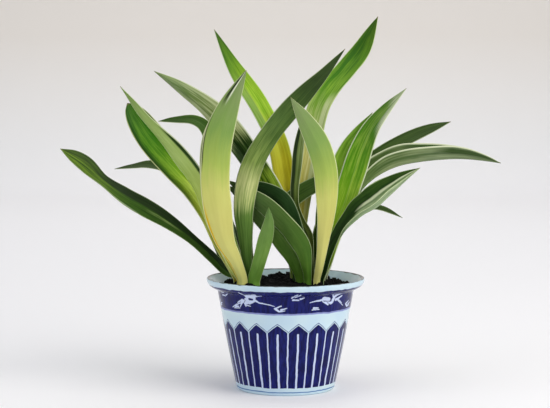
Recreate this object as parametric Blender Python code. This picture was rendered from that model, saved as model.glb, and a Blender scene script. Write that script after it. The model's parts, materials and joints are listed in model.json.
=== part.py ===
"""Potted Japanese sacred lily (Rohdea japonica) in a blue and white porcelain pot.

Blender 4.5 script, metres, +Z up. The origin is on the pot's axis, on the surface that the pot
stands on. The photograph looks along +Y, with +X to the right.

The pot is one turned shell on a foot ring. It is filled with soil, and two rhizomes stand in
plain holes in the soil. The leaves grow out of the rhizomes' tops: thirteen from the left one
and sixteen from the right one. Each leaf is a thin arched strap, folded along its midrib, with
a waved edge and a pointed tip.
"""

import math

import bmesh
import bpy
from mathutils import Vector, noise

MM = 0.001

# Driving dimensions, in millimetres.
POT_HEIGHT = 120.0
RIM_RADIUS = 85.0            # outer edge of the flared lip
NECK_RADIUS = 73.4           # outside of the wall, under the lip
NECK_HEIGHT = 107.5
BASE_RADIUS = 53.4           # outside of the wall, just above the foot ring
BASE_HEIGHT = 3.6
WALL = 4.4                   # thickness of the porcelain
WALL_BULGE = 0.6             # how far the wall's side stands out from a straight cone
FOOT_OUTER = 51.4            # flat foot ring that the pot rests on
FOOT_INNER = 46.5
RECESS = 3.2                 # depth of the hollow inside the foot ring
FLOOR_TOP = 9.0              # inside floor of the pot
POT_SIDES = 48
# Points (radius, height) of the lip: it sweeps out nearly level, then curls up to a round edge.
LIP_OUTSIDE = [(77.2, 109.0), (80.4, 110.8), (82.8, 112.9), (84.5, 115.6), (RIM_RADIUS, 118.2),
               (84.5, 119.6), (83.2, POT_HEIGHT)]
LIP_INSIDE = [(80.6, 118.4), (76.6, 115.6), (72.4, 112.4), (69.6, 108.6)]
INSIDE_HEIGHTS = (88.0, 60.0, 34.0, 16.0)   # where the inside wall's section has points

SOIL_LEVEL = 109.5
SOIL_ROUGHNESS = 2.0         # height of the lumps on the soil
SOIL_GAP = 0.35              # clearance between soil and pot, and between soil and rhizomes
SOIL_RINGS = 12

RHIZOME_TOP = 113.0          # just clear of the soil
RHIZOME_BOTTOM = 84.0
SEAT_GAP = 0.5               # a leaf's foot stands this far above its rhizome

LEAF_THICKNESS = 1.2
LEAF_ACROSS = 4              # strips across a leaf
LEAF_ALONG = 14              # strips from foot to tip
SHEATH_HEIGHT = 7.0          # a leaf rises straight from the rhizome for this height
FOOT_SHARE = 0.38            # width of a leaf's foot, as a share of the blade's
OTHER_EDGE_WAVE = 0.6        # the second edge's waves, as a share of the first's
OTHER_EDGE_START = 1.9       # and how far they run ahead, in radians

# Each rhizome's middle (x, y) and its two half widths across the top.
RHIZOMES = {
    "rhizome_left": dict(middle=(-38, -12), radii=(17, 31)),
    "rhizome_right": dict(middle=(24, -4), radii=(21, 33)),
}

# sRGB colours of the materials.
PORCELAIN = (0.86, 0.91, 0.93)
SOIL_BLACK = (0.10, 0.085, 0.08)
RHIZOME_BROWN = (0.46, 0.37, 0.24)
LEAF_COLOURS = {
    "leaf_green": (0.30, 0.44, 0.14),
    "leaf_dark": (0.15, 0.25, 0.09),
    "leaf_pale": (0.55, 0.62, 0.30),
}


# Every leaf. path: the points that the midrib passes, from foot to tip. width: the blade's
# greatest width. low and high: where the upper face looks, near the foot and near the tip.
# fold: how far each half is folded up, in degrees, near the foot and near the tip. wave: height,
# number and start of the edge's waves. widest: how far along the leaf its taper to the tip begins.
# outline: (place along the leaf, half width) where the plain taper isn't its shape.
def leaf(path, width, low, high, fold=(30, 12), wave=(1.2, 3.0, 0.0), widest=0.66,
         outline=None, colour="leaf_green"):
    return dict(path=path, width=width, low=low, high=high, fold=fold, wave=wave,
                widest=widest, outline=outline, colour=colour)


LEAVES = {
    # Left rhizome, front leaves first.
    "leaf_front_left": leaf(
        [(-46, -38), (-53, -42, 140), (-65, -48, 165), (-73, -60, 213), (-73, -70, 244),
         (-69, -80, 274), (-57, -92, 308), (-40, -104, 342)],
        31, (0.2, 1, 0), (0.05, 1, 0.25), wave=(0.8, 2.0, 0.0), colour="leaf_pale"),
    "leaf_front_left_behind": leaf(
        [(-48, -32), (-57, -36, 140), (-67, -41, 169), (-75, -50, 212), (-77, -60, 249),
         (-74, -66, 270), (-60, -78, 304), (-42, -90, 341)],
        26, (0.2, 1, 0), (0.05, 1, 0.2), wave=(0.8, 2.0, 0.0), colour="leaf_pale"),
    "leaf_front_short": leaf(
        [(-34, -39), (-28, -45, 141), (-22, -51, 162), (-18, -56, 181), (-18, -58, 200)],
        20, (0.1, 1, 0), (-0.1, 1, 0.1), fold=(30, 25), wave=(0.4, 2.0, 0.0),
        outline=[(0, 7.4), (0.35, 7.8), (0.6, 8.4), (0.8, 6.2), (0.92, 3), (1, 0)]),
    "leaf_centre_diagonal": leaf(
        [(-38, -30), (-41, -33, 140), (-43, -35, 169), (-44, -38, 197), (-35, -43, 240),
         (-17, -49, 273), (21, -56, 318), (40, -60, 339), (61, -62, 364)],
        25, (0.1, 1, 0), (-0.35, 0.9, 0.3)),
    "leaf_left_narrow": leaf(
        [(-48, -26), (-55, -25, 131), (-67, -25, 161), (-81, -27, 197), (-96, -28, 227),
         (-116, -29, 254), (-144.5, -29, 286.5), (-174, -30, 325)],
        25, (0.2, 1, 0), (0.68, 0.62, 0.42),
        outline=[(0, 4.8), (0.2, 9), (0.36, 15.5), (0.55, 16), (0.7, 12.5), (0.88, 6), (1, 0)],
        colour="leaf_pale"),
    "leaf_left_wide": leaf(
        [(-50, -18), (-56, -15, 134), (-69, -13, 162), (-79, -11, 191), (-95, -9, 217),
         (-117, -7, 240), (-142, -5, 268), (-169, -3, 307)],
        34, (0.1, -1, 0), (0.15, -0.95, 0.2), fold=(30, 8),
        outline=[(0, 6.4), (0.2, 10), (0.4, 15), (0.6, 16.4), (0.8, 16), (0.91, 13), (0.97, 7.5),
                 (1, 0)]),
    "leaf_left_low": leaf(
        [(-50, -9), (-64, -8, 127), (-78, -8, 141), (-102, -11, 163), (-129, -14, 183),
         (-150, -18, 196), (-170, -23, 208), (-193, -28, 225.5), (-211, -34, 243),
         (-236, -42, 260)],
        20, (0.2, -1, 0.2), (0.35, -0.75, 0.55), fold=(28, 8), wave=(1.0, 3.0, 0.0),
        outline=[(0, 4.4), (0.16, 6), (0.29, 6), (0.42, 8.8), (0.55, 12.2), (0.65, 11),
                 (0.765, 7), (0.866, 10.5), (0.935, 8), (1, 0)], colour="leaf_dark"),
    "leaf_left_back_slim": leaf(
        [(-44, -3), (-51, 0, 136), (-64, 5, 165), (-75, 10, 197), (-78, 17, 240), (-82, 24, 267),
         (-89, 31, 281), (-101, 38, 287.5), (-119, 44, 287.5), (-139.5, 50, 286)],
        16, (0, -1, 0), (0.1, -0.7, 0.7),
        outline=[(0, 4), (0.35, 6.5), (0.6, 6.5), (0.76, 7.5), (0.87, 6.4), (0.94, 4), (1, 0)]),
    "leaf_left_back_low": leaf(
        [(-51, 2), (-64, 8, 135), (-80, 14, 173), (-99, 24, 206), (-128, 34, 232),
         (-150, 41, 238), (-169, 46, 236), (-188, 50, 233.5)],
        22, (0, -1, 0), (0.3, -0.45, 0.85),
        outline=[(0, 4.4), (0.3, 7), (0.55, 9), (0.82, 8.6), (0.91, 5.5), (1, 0)],
        colour="leaf_dark"),
    "leaf_right_far": leaf(
        [(-32, -9), (-28, 0, 136), (-21, 8, 159), (-12, 13, 180), (3, 14, 198), (23, 18, 212),
         (53, 25, 225), (81, 32, 234), (98, 36, 244), (114, 40, 255), (131, 44, 265),
         (148, 48, 273), (165, 51, 279.5), (182, 54, 285.5)],
        23, (-0.1, -1, 0), (-0.35, -0.75, 0.65),
        outline=[(0, 4.4), (0.2, 8), (0.4, 11), (0.69, 11.5), (0.82, 10), (0.883, 8.2),
                 (0.943, 5.2), (1, 0)], colour="leaf_dark"),
    "leaf_back_left": leaf(
        [(-43, 8), (-54, 16, 141), (-69, 30, 173), (-75, 48, 211), (-76, 70, 248),
         (-71, 92, 284), (-64, 105, 304)],
        26, (0, -1, 0), (0.1, -0.8, 0.6)),
    "leaf_back_centre": leaf(
        [(-32, 4), (-40, 12, 141), (-44, 20, 168), (-43, 34, 201), (-36, 53, 238),
         (-17, 78, 271), (6, 104, 297)],
        22, (0, -1, 0), (0, -0.8, 0.6)),
    "leaf_back_left_low": leaf(
        [(-44, 15), (-57, 28, 141), (-68, 54, 171), (-77, 86, 182), (-81, 106, 168)],
        26, (0, -1, 0), (0, 0.3, 0.95), colour="leaf_dark"),
    # Right rhizome, front leaves first.
    "leaf_front_right": leaf(
        [(33, -32), (35.5, -36, 134), (39.5, -42, 164), (42.5, -52, 202), (40.5, -64, 239),
         (32, -76, 267), (19, -86, 291), (4, -95, 315)],
        27, (-0.1, 1, 0), (0, 1, 0.25), wave=(0.8, 2.0, 0.0),
        outline=[(0, 3.8), (0.12, 5), (0.24, 6.8), (0.36, 9.6), (0.48, 12), (0.62, 12.8),
                 (0.75, 12.2), (0.88, 7.6), (1, 0)], colour="leaf_pale"),
    "leaf_front_centre": leaf(
        [(23, -30), (22, -33, 133), (18, -36, 153), (9, -37, 168), (-10, -36, 189),
         (-38, -26, 210), (-63, -19, 226)],
        22, (0.1, 1, 0), (0.2, 0.9, 0.4), fold=(28, 8)),
    "leaf_front_centre_behind": leaf(
        [(15, -22), (12, -24, 132), (6, -26, 149), (-6, -27, 166), (-25, -22, 187),
         (-48, -14, 209), (-63, -9, 219)],
        26, (0.1, 1, 0), (0.2, 0.9, 0.4), fold=(25, 8), colour="leaf_dark"),
    "leaf_dark_arch": leaf(
        [(12, -14), (11, -18, 151), (3, -18, 186), (-6, -16, 203), (-24, -11, 216), (-44, -5, 222)],
        24, (0.1, 1, 0), (0.1, 0.9, 0.4), fold=(25, 8), colour="leaf_dark"),
    "leaf_left_streaky": leaf(
        [(12, -4), (9, -5, 137), (-1, -5, 169), (-18, -1, 206), (-47, 1, 255), (-78, -5, 293),
         (-109, -14, 320), (-139, -22, 341)],
        33, (0.1, 1, 0), (0.35, 0.7, 0.5), fold=(28, 22)),
    "leaf_centre_upright": leaf(
        [(27, -5), (26, -5, 150), (25, -5, 166), (16.5, -6, 182), (11, -7, 197), (10, -8, 214),
         (12, -9, 236), (14, -10, 257), (17, -12, 278), (20, -13, 298)],
        16, (-0.1, -1, 0), (-0.3, -0.9, 0), fold=(25, 20), wave=(0.4, 2.0, 0.0),
        outline=[(0, 4.2), (0.2, 4.6), (0.45, 4.4), (0.62, 5.4), (0.75, 6.2), (0.88, 4.6), (1, 0)],
        colour="leaf_dark"),
    "leaf_tall_left": leaf(
        [(9, 7), (8, 15, 148), (3, 22, 196), (-2, 29, 228), (-9, 38, 262), (-26, 52, 297),
         (-55, 75, 342), (-80, 100, 388)],
        24, (0, -1, 0), (0.2, -0.85, 0.45)),
    "leaf_tall_right": leaf(
        [(15, 16), (15, 24, 147), (16, 30, 185), (20, 34, 223), (28, 40, 263), (37, 48, 301),
         (50, 57, 322), (67, 68, 341), (85, 82, 364), (104, 98, 402)],
        26, (0, -1, 0), (-0.3, -0.85, 0.4), widest=0.8),
    "leaf_right_channel": leaf(
        [(37.5, -22), (41, -24, 130), (45, -26, 144.5), (50.5, -28, 156.5), (57.5, -31, 167),
         (65, -34, 176.5), (73, -36, 184), (81, -37, 190.5), (95, -38, 198.5), (109, -37, 211),
         (122, -36, 223), (131.5, -35, 231.5), (141, -35, 239.5)],
        38, (-0.4, -0.9, 0), (-0.5, -0.5, 0.85), fold=(30, 44), wave=(0.8, 3.0, 0.0),
        outline=[(0, 4.6), (0.12, 5.5), (0.22, 7), (0.32, 9), (0.42, 13), (0.52, 19), (0.64, 23),
                 (0.75, 21), (0.855, 14), (0.93, 7), (1, 0)], colour="leaf_dark"),
    "leaf_right_bright": leaf(
        [(38, -12), (44, -14, 138), (51, -14, 170), (62, -13, 199), (71, -12, 227),
         (81, -11, 257), (92, -11, 281), (106, -12, 300), (128, -13, 323)],
        28, (-0.2, -1, 0), (-0.35, -0.9, 0.2), widest=0.55),
    "leaf_right_bright_behind": leaf(
        [(34, -3), (39, -3, 137), (44, -1, 169), (51, 0, 198), (58, 1, 230), (69, 2, 260),
         (93, 2, 297)],
        24, (-0.2, -1, 0), (-0.35, -0.9, 0.2)),
    "leaf_right_long": leaf(
        [(39, 5), (44, 8, 135), (51, 9, 159), (61, 10, 181), (72, 10, 198), (82, 11, 213),
         (93, 11, 224), (107, 12, 233), (123, 13, 239.5), (145, 17, 243.5), (167, 23, 245.5),
         (190, 31, 246), (213, 40, 244), (237, 50, 240)],
        40, (-0.2, -1, 0), (-0.05, -0.1, 1), fold=(25, 50), wave=(0.8, 3.0, 0.0),
        outline=[(0, 7), (0.14, 9), (0.29, 13), (0.41, 19), (0.5, 24), (0.6, 25), (0.68, 22),
                 (0.76, 19.5), (0.84, 15.5), (0.92, 8.5), (1, 0)]),
    "leaf_right_drooping": leaf(
        [(29, 8), (31, 14, 135), (37, 19, 165), (49, 23, 183), (72, 26, 191), (103, 30, 192),
         (128, 34, 181)],
        12, (0, -1, 0), (0.1, -0.6, 0.8), colour="leaf_dark"),
    "leaf_back_right": leaf(
        [(28, 22), (38, 34, 141), (43, 46, 173), (46, 58, 210), (43, 78, 242), (35, 97, 275),
         (27, 105, 290)],
        22, (0, -1, 0), (0, -0.8, 0.6)),
    "leaf_back_far_right": leaf(
        [(38, 14), (43, 20, 134), (50, 28, 163), (61, 38, 195), (72, 54, 227), (84, 76, 256),
         (98, 102, 284)],
        24, (-0.1, -1, 0), (-0.2, -0.8, 0.6)),
    "leaf_back_right_low": leaf(
        [(21, 26), (33, 44, 138), (43, 64, 161), (49, 88, 174), (51, 106, 164)],
        26, (0, -1, 0), (0, 0.3, 0.95), colour="leaf_dark"),
}


def clear_scene():
    for old in list(bpy.data.objects):
        bpy.data.objects.remove(old, do_unlink=True)


def srgb_to_linear(colour):
    return tuple(c / 12.92 if c <= 0.04045 else ((c + 0.055) / 1.055) ** 2.4 for c in colour)


def make_material(name, colour, roughness, metallic=0.0):
    material = bpy.data.materials.new(name)
    material.use_nodes = True
    shader = material.node_tree.nodes["Principled BSDF"]
    linear = srgb_to_linear(colour)
    shader.inputs["Base Color"].default_value = (*linear, 1.0)
    shader.inputs["Roughness"].default_value = roughness
    shader.inputs["Metallic"].default_value = metallic
    material.diffuse_color = (*linear, 1.0)
    return material


def make_object(name, bm, material, crease_degrees=40.0):
    mesh = bpy.data.meshes.new(name)
    bm.to_mesh(mesh)
    bm.free()
    mesh.materials.append(material)
    mesh.shade_smooth()
    mesh.set_sharp_from_angle(angle=math.radians(crease_degrees))
    obj = bpy.data.objects.new(name, mesh)
    bpy.context.scene.collection.objects.link(obj)
    return obj


def smooth_step(value):
    value = min(max(value, 0.0), 1.0)
    return value * value * (3.0 - 2.0 * value)


def turn_profile(profile, sides):
    """Spin a closed profile of (radius, height) points round the Z axis into a closed solid."""
    bm = bmesh.new()
    rings = []
    for radius, height in profile:
        if radius == 0.0:
            rings.append([bm.verts.new((0.0, 0.0, height * MM))])
            continue
        ring = []
        for side in range(sides):
            angle = math.tau * side / sides
            ring.append(bm.verts.new((radius * math.cos(angle) * MM,
                                      radius * math.sin(angle) * MM, height * MM)))
        rings.append(ring)
    for lower, upper in zip(rings, rings[1:]):
        for side in range(sides):
            after = (side + 1) % sides
            if len(lower) == 1:
                bm.faces.new((lower[0], upper[after], upper[side]))
            elif len(upper) == 1:
                bm.faces.new((lower[side], lower[after], upper[0]))
            else:
                bm.faces.new((lower[side], lower[after], upper[after], upper[side]))
    bmesh.ops.recalc_face_normals(bm, faces=bm.faces)
    return bm


def wall_radius(height):
    """Outside radius of the pot's wall at a height: a cone that swells a little at mid height."""
    share = (height - BASE_HEIGHT) / (NECK_HEIGHT - BASE_HEIGHT)
    return BASE_RADIUS + (NECK_RADIUS - BASE_RADIUS) * share + WALL_BULGE * math.sin(math.pi * share)


def pot_profile():
    """The pot's section, from the middle of its underside out, up, over the lip and down inside."""
    wall_heights = [BASE_HEIGHT + (NECK_HEIGHT - BASE_HEIGHT) * step / 6 for step in range(7)]
    profile = [(0.0, RECESS), (FOOT_INNER - 2.5, RECESS), (FOOT_INNER - 0.6, 1.0), (FOOT_INNER, 0.0),
               (FOOT_OUTER, 0.0), (FOOT_OUTER + 1.3, 1.2)]
    profile += [(wall_radius(height), height) for height in wall_heights]
    profile += LIP_OUTSIDE + LIP_INSIDE
    profile += [(wall_radius(height) - WALL, height) for height in INSIDE_HEIGHTS]
    profile += [(FOOT_OUTER - 4.0, FLOOR_TOP + 1.6), (FOOT_OUTER - 8.0, FLOOR_TOP), (0.0, FLOOR_TOP)]
    return profile


def inner_radius(height):
    """Radius of the pot's inside wall at a height between its uppermost point and its next."""
    upper_radius, upper_height = LIP_INSIDE[-1]
    lower_height = INSIDE_HEIGHTS[0]
    lower_radius = wall_radius(lower_height) - WALL
    share = (height - lower_height) / (upper_height - lower_height)
    return lower_radius + (upper_radius - lower_radius) * share


def build_pot():
    material = make_material("glazed_porcelain", PORCELAIN, 0.12)
    return make_object("pot", turn_profile(pot_profile(), POT_SIDES), material, 35.0)


def soil_height(x, y, radius, outer):
    """Lumpy top of the soil: noise in two sizes, level where it meets the pot."""
    coarse = noise.noise(Vector((x * 0.055, y * 0.055, 3.7)))
    fine = noise.noise(Vector((x * 0.16, y * 0.16, 8.1)))
    calm = 1.0 - smooth_step((radius - 0.9 * outer) / (0.1 * outer))
    return SOIL_LEVEL + SOIL_ROUGHNESS * (0.8 * coarse + 0.9 * fine) * calm


def build_soil(cutters):
    """The filling of the pot, with a plain hole for each rhizome."""
    top_radius = inner_radius(SOIL_LEVEL - 2.0) - SOIL_GAP
    profile = [(0.0, FLOOR_TOP + SOIL_GAP)]
    profile.append((FOOT_OUTER - 8.2, FLOOR_TOP + SOIL_GAP))
    profile.append((FOOT_OUTER - 4.4, FLOOR_TOP + 1.6 + SOIL_GAP))
    for height in reversed(INSIDE_HEIGHTS):
        profile.append((wall_radius(height) - WALL - SOIL_GAP, height))
    profile.append((top_radius, SOIL_LEVEL - 2.0))
    profile.append((top_radius - 0.6, SOIL_LEVEL))
    for ring in range(SOIL_RINGS - 1, 0, -1):
        profile.append(((top_radius - 0.6) * ring / SOIL_RINGS, SOIL_LEVEL))
    profile.append((0.0, SOIL_LEVEL))
    bm = turn_profile(profile, POT_SIDES)
    for vert in bm.verts:
        x, y = vert.co.x / MM, vert.co.y / MM
        if vert.co.z > (SOIL_LEVEL - 0.5) * MM:
            vert.co.z = soil_height(x, y, math.hypot(x, y), top_radius) * MM
    bmesh.ops.triangulate(bm, faces=bm.faces)
    soil = make_object("soil", bm, make_material("black_potting_soil", SOIL_BLACK, 0.95), 60.0)
    for number, cutter in enumerate(cutters):
        cut = soil.modifiers.new(f"hole_{number}", "BOOLEAN")
        cut.operation = "DIFFERENCE"
        cut.object = cutter
        cut.solver = "EXACT"
    return soil


def oval_column(middle, radii, levels, sides=28):
    """A closed upright column: levels are (height, share of the full radii), bottom to top."""
    bm = bmesh.new()
    rings = []
    for height, share in levels:
        ring = []
        for side in range(sides):
            angle = math.tau * side / sides
            ring.append(bm.verts.new(((middle[0] + radii[0] * share * math.cos(angle)) * MM,
                                      (middle[1] + radii[1] * share * math.sin(angle)) * MM,
                                      height * MM)))
        rings.append(ring)
    for lower, upper in zip(rings, rings[1:]):
        for side in range(sides):
            after = (side + 1) % sides
            bm.faces.new((lower[side], lower[after], upper[after], upper[side]))
    bm.faces.new(list(reversed(rings[0])))
    bm.faces.new(rings[-1])
    bmesh.ops.recalc_face_normals(bm, faces=bm.faces)
    return bm


def build_rhizomes():
    """The two short thick stems that the leaves grow from, ringed by old leaf scars."""
    material = make_material("rhizome_skin", RHIZOME_BROWN, 0.8)
    rings = 5
    for name, data in RHIZOMES.items():
        levels = [(RHIZOME_BOTTOM, 0.72), (RHIZOME_BOTTOM + 4.0, 0.88)]
        step = (RHIZOME_TOP - RHIZOME_BOTTOM - 4.0) / rings
        for ring in range(rings):
            foot = RHIZOME_BOTTOM + 4.0 + step * ring
            levels.append((foot + step * 0.5, 1.0))
            levels.append((foot + step * 0.9, 0.95))
        levels.append((RHIZOME_TOP, 1.0))
        make_object(name, oval_column(data["middle"], data["radii"], levels), material)


def rhizome_cutters():
    """The plain holes that the rhizomes stand in, open at the soil's surface."""
    cutters = []
    for name, data in RHIZOMES.items():
        radii = tuple(radius + SOIL_GAP for radius in data["radii"])
        levels = [(RHIZOME_BOTTOM - SEAT_GAP, 1.0), (SOIL_LEVEL + 12.0, 1.0)]
        bm = oval_column(data["middle"], radii, levels)
        cutter = make_object("cut_" + name, bm, make_material("cutter", SOIL_BLACK, 1.0))
        cutter.hide_render = True
        cutter.display_type = "WIRE"
        cutters.append(cutter)
    return cutters


def midrib_points(path, count):
    """Points at even steps along a smooth curve through the path, which rises straight at first."""
    foot = Vector((*path[0], RHIZOME_TOP + SEAT_GAP))
    knots = [foot, foot + Vector((0, 0, SHEATH_HEIGHT))] + [Vector(point) for point in path[1:]]
    knots.insert(0, foot - Vector((0, 0, SHEATH_HEIGHT)))
    knots.append(2 * knots[-1] - knots[-2])
    dense = []
    for p0, p1, p2, p3 in zip(knots, knots[1:], knots[2:], knots[3:]):
        # Centripetal spacing keeps the curve from looping where knots lie close together.
        t0 = 0.0
        t1 = t0 + math.sqrt((p1 - p0).length)
        t2 = t1 + math.sqrt((p2 - p1).length)
        t3 = t2 + math.sqrt((p3 - p2).length)
        for step in range(12):
            t = t1 + (t2 - t1) * step / 12
            a1 = p0 * ((t1 - t) / (t1 - t0)) + p1 * ((t - t0) / (t1 - t0))
            a2 = p1 * ((t2 - t) / (t2 - t1)) + p2 * ((t - t1) / (t2 - t1))
            a3 = p2 * ((t3 - t) / (t3 - t2)) + p3 * ((t - t2) / (t3 - t2))
            b1 = a1 * ((t2 - t) / (t2 - t0)) + a2 * ((t - t0) / (t2 - t0))
            b2 = a2 * ((t3 - t) / (t3 - t1)) + a3 * ((t - t1) / (t3 - t1))
            dense.append(b1 * ((t2 - t) / (t2 - t1)) + b2 * ((t - t1) / (t2 - t1)))
    dense.append(knots[-2])
    lengths = [0.0]
    for before, after in zip(dense, dense[1:]):
        lengths.append(lengths[-1] + (after - before).length)
    points = []
    place = 0
    for index in range(count + 1):
        goal = lengths[-1] * index / count
        while place < len(dense) - 2 and lengths[place + 1] < goal:
            place += 1
        share = (goal - lengths[place]) / (lengths[place + 1] - lengths[place])
        points.append(dense[place].lerp(dense[place + 1], share))
    return points


def outline_width(outline, along):
    """Half width from a leaf's own outline, smooth through its points."""
    last = len(outline) - 1
    step = 0
    while step < last - 1 and along > outline[step + 1][0]:
        step += 1
    (place0, width0), (place1, width1) = outline[step], outline[step + 1]
    slopes = []
    for point in (step, step + 1):
        before, after = outline[max(point - 1, 0)], outline[min(point + 1, last)]
        slopes.append((after[1] - before[1]) / (after[0] - before[0]))
    run = place1 - place0
    t = min((along - place0) / run, 1.0)
    return max(0.0, (2 * t ** 3 - 3 * t ** 2 + 1) * width0 + (t ** 3 - 2 * t ** 2 + t) * run * slopes[0]
               + (3 * t ** 2 - 2 * t ** 3) * width1 + (t ** 3 - t ** 2) * run * slopes[1])


def half_width(data, along):
    """Half the blade's width: a narrow foot, full from two fifths of the way up, then a taper."""
    if data["outline"]:
        return outline_width(data["outline"], along)
    full = data["width"] / 2
    width = full * (FOOT_SHARE + (1.0 - FOOT_SHARE) * smooth_step(along / 0.4))
    if along > data["widest"]:
        taper = (along - data["widest"]) / (1.0 - data["widest"])
        width *= 1.0 - taper ** 1.7
    return width


def leaf_surface(data, points, along_index, across):
    """A point of the leaf's middle surface. across runs from -1 at one edge to 1 at the other."""
    count = len(points) - 1
    along = along_index / count
    before = points[max(along_index - 1, 0)]
    after = points[min(along_index + 1, count)]
    tangent = (after - before).normalized()
    if along_index == 0:
        tangent = Vector((0, 0, 1))
    facing = Vector(data["low"]).lerp(Vector(data["high"]), smooth_step((along - 0.05) / 0.5))
    normal = (facing - tangent * facing.dot(tangent)).normalized()
    sideways = tangent.cross(normal)
    fold_low, fold_high = data["fold"]
    fold = math.radians(fold_low + (fold_high - fold_low) * smooth_step(along / 0.4))
    width = half_width(data, along)
    reach = abs(across)
    wave_height, wave_count, wave_start = data["wave"]
    if across < 0:
        wave_height *= OTHER_EDGE_WAVE
        wave_start += OTHER_EDGE_START
    ripple = math.sin(math.tau * wave_count * along + wave_start)
    wave = wave_height * ripple * reach ** 2 * smooth_step(along / 0.35) * smooth_step((1 - along) / 0.2)
    lift = width * math.sin(fold) * reach ** 1.35 + wave
    return points[along_index] + sideways * (width * math.cos(fold) * across) + normal * lift


def build_leaf(name, data, material):
    points = midrib_points(data["path"], LEAF_ALONG)
    bm = bmesh.new()
    bmesh.ops.create_grid(bm, x_segments=LEAF_ACROSS, y_segments=LEAF_ALONG, size=1.0)
    for vert in bm.verts:
        row = round((vert.co.y + 1.0) / 2.0 * LEAF_ALONG)
        vert.co = leaf_surface(data, points, row, vert.co.x) * MM
    bmesh.ops.remove_doubles(bm, verts=bm.verts, dist=0.00001)
    bmesh.ops.triangulate(bm, faces=bm.faces)
    obj = make_object(name, bm, material, 60.0)
    skin = obj.modifiers.new("thickness", "SOLIDIFY")
    skin.thickness = LEAF_THICKNESS * MM
    skin.offset = 0.0
    return obj


def build_leaves():
    materials = {name: make_material(name, colour, 0.45) for name, colour in LEAF_COLOURS.items()}
    for name, data in LEAVES.items():
        build_leaf(name, data, materials[data["colour"]])


def main():
    clear_scene()
    build_pot()
    build_soil(rhizome_cutters())
    build_rhizomes()
    build_leaves()


main()
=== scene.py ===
import json
import math
import random

import bmesh
import bpy
from mathutils import Matrix, Vector, noise


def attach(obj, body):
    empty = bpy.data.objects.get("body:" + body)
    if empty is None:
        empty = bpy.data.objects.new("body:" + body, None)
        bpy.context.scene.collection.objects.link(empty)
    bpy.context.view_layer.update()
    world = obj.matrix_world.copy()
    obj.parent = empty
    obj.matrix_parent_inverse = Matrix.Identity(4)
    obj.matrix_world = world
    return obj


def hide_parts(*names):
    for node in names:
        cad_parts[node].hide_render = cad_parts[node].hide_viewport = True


# Potted Japanese sacred lily: the looks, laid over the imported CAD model.
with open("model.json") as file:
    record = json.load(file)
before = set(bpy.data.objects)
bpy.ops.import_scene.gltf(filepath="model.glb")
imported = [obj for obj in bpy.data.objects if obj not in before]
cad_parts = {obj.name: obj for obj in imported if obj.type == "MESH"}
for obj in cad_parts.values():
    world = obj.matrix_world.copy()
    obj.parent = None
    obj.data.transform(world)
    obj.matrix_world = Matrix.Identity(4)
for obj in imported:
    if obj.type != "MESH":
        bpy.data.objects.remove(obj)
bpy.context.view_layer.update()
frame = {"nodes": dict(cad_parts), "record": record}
mm = 0.001
print("frame loaded:", len(frame["nodes"]), "nodes")


def linear(hexColour):
    channels = [int(hexColour[i:i + 2], 16) / 255 for i in (1, 3, 5)]
    return [c / 12.92 if c <= 0.04045 else ((c + 0.055) / 1.055) ** 2.4 for c in channels] + [1.0]


def smooth(value):
    value = min(max(value, 0.0), 1.0)
    return value * value * (3 - 2 * value)


def add(tree, kind, inputs=(), output=0, stops=(), **settings):
    # adds a shader node with its settings and links, and gives back one of its outputs
    made = tree.nodes.new("ShaderNode" + kind)
    for key, value in settings.items():
        setattr(made, key, value)
    for key, value in (inputs.items() if isinstance(inputs, dict) else enumerate(inputs)):
        if isinstance(value, bpy.types.NodeSocket):
            tree.links.new(value, made.inputs[key])
        else:
            made.inputs[key].default_value = linear(value) if isinstance(value, str) else value
    for number, (position, colour) in enumerate(stops):
        elements = made.color_ramp.elements
        element = elements[number] if number < 2 else elements.new(position)
        element.position = position
        element.color = linear(colour) if isinstance(colour, str) else (colour, colour, colour, 1)
    return made.outputs[output]


def newMaterial(name):
    material = bpy.data.materials.new(name)
    material.use_nodes = True
    return material, material.node_tree, material.node_tree.nodes["Principled BSDF"]


def finishPiece(name, bm, pieceMaterials, slotName, *replacedNodes):
    mesh = bpy.data.meshes.new(name)
    bm.to_mesh(mesh)
    bm.free()
    mesh.shade_smooth()
    for material in pieceMaterials:
        mesh.materials.append(material)
    piece = bpy.data.objects.new(name, mesh)
    bpy.context.scene.collection.objects.link(piece)
    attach(piece, "root")
    if replacedNodes:
        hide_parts(*replacedNodes)
    return piece


# camera, at the photograph's height and angle

cameraSetup = dict(place=(-0.0114, -1.85, 0.340), down=4.366, lens=113.24, sensor=36.0)

cameraData = bpy.data.cameras.new("camera")
cameraData.lens = cameraSetup["lens"]
cameraData.sensor_width = cameraSetup["sensor"]
camera = bpy.data.objects.new("camera", cameraData)
camera.location = cameraSetup["place"]
camera.rotation_euler = (math.radians(90 - cameraSetup["down"]), 0, 0)
bpy.context.scene.collection.objects.link(camera)
bpy.context.scene.camera = camera


# Living leaf: a waxy skin over soft green tissue, with parallel veins 1 to 2 mm apart. The upper
# face is saturated and slightly glossy, the underside paler and matt.
# stops: (place from foot to tip, the dark tone, the light tone), mostly the tissue's own colours
# streaks, bands: how strongly fine dashes and long pale stripes show; sharp: how hard their edges are
# margin, rim: the pale edge's colour, brightened as a painted highlight, and its share of the half
# width; midrib: how far it shows
# patches: other tissue, painted shade and painted sheen, by (place, share) across the leaf
# and along it
def leafLook(stops, streaks, bands, sharp, margin, rim=0.05, midrib=0.0, roughness=0.4, patches=()):
    return dict(stops=stops, streaks=streaks, bands=bands, sharp=sharp, margin=margin, rim=rim,
                midrib=midrib, roughness=roughness, patches=patches)


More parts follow.
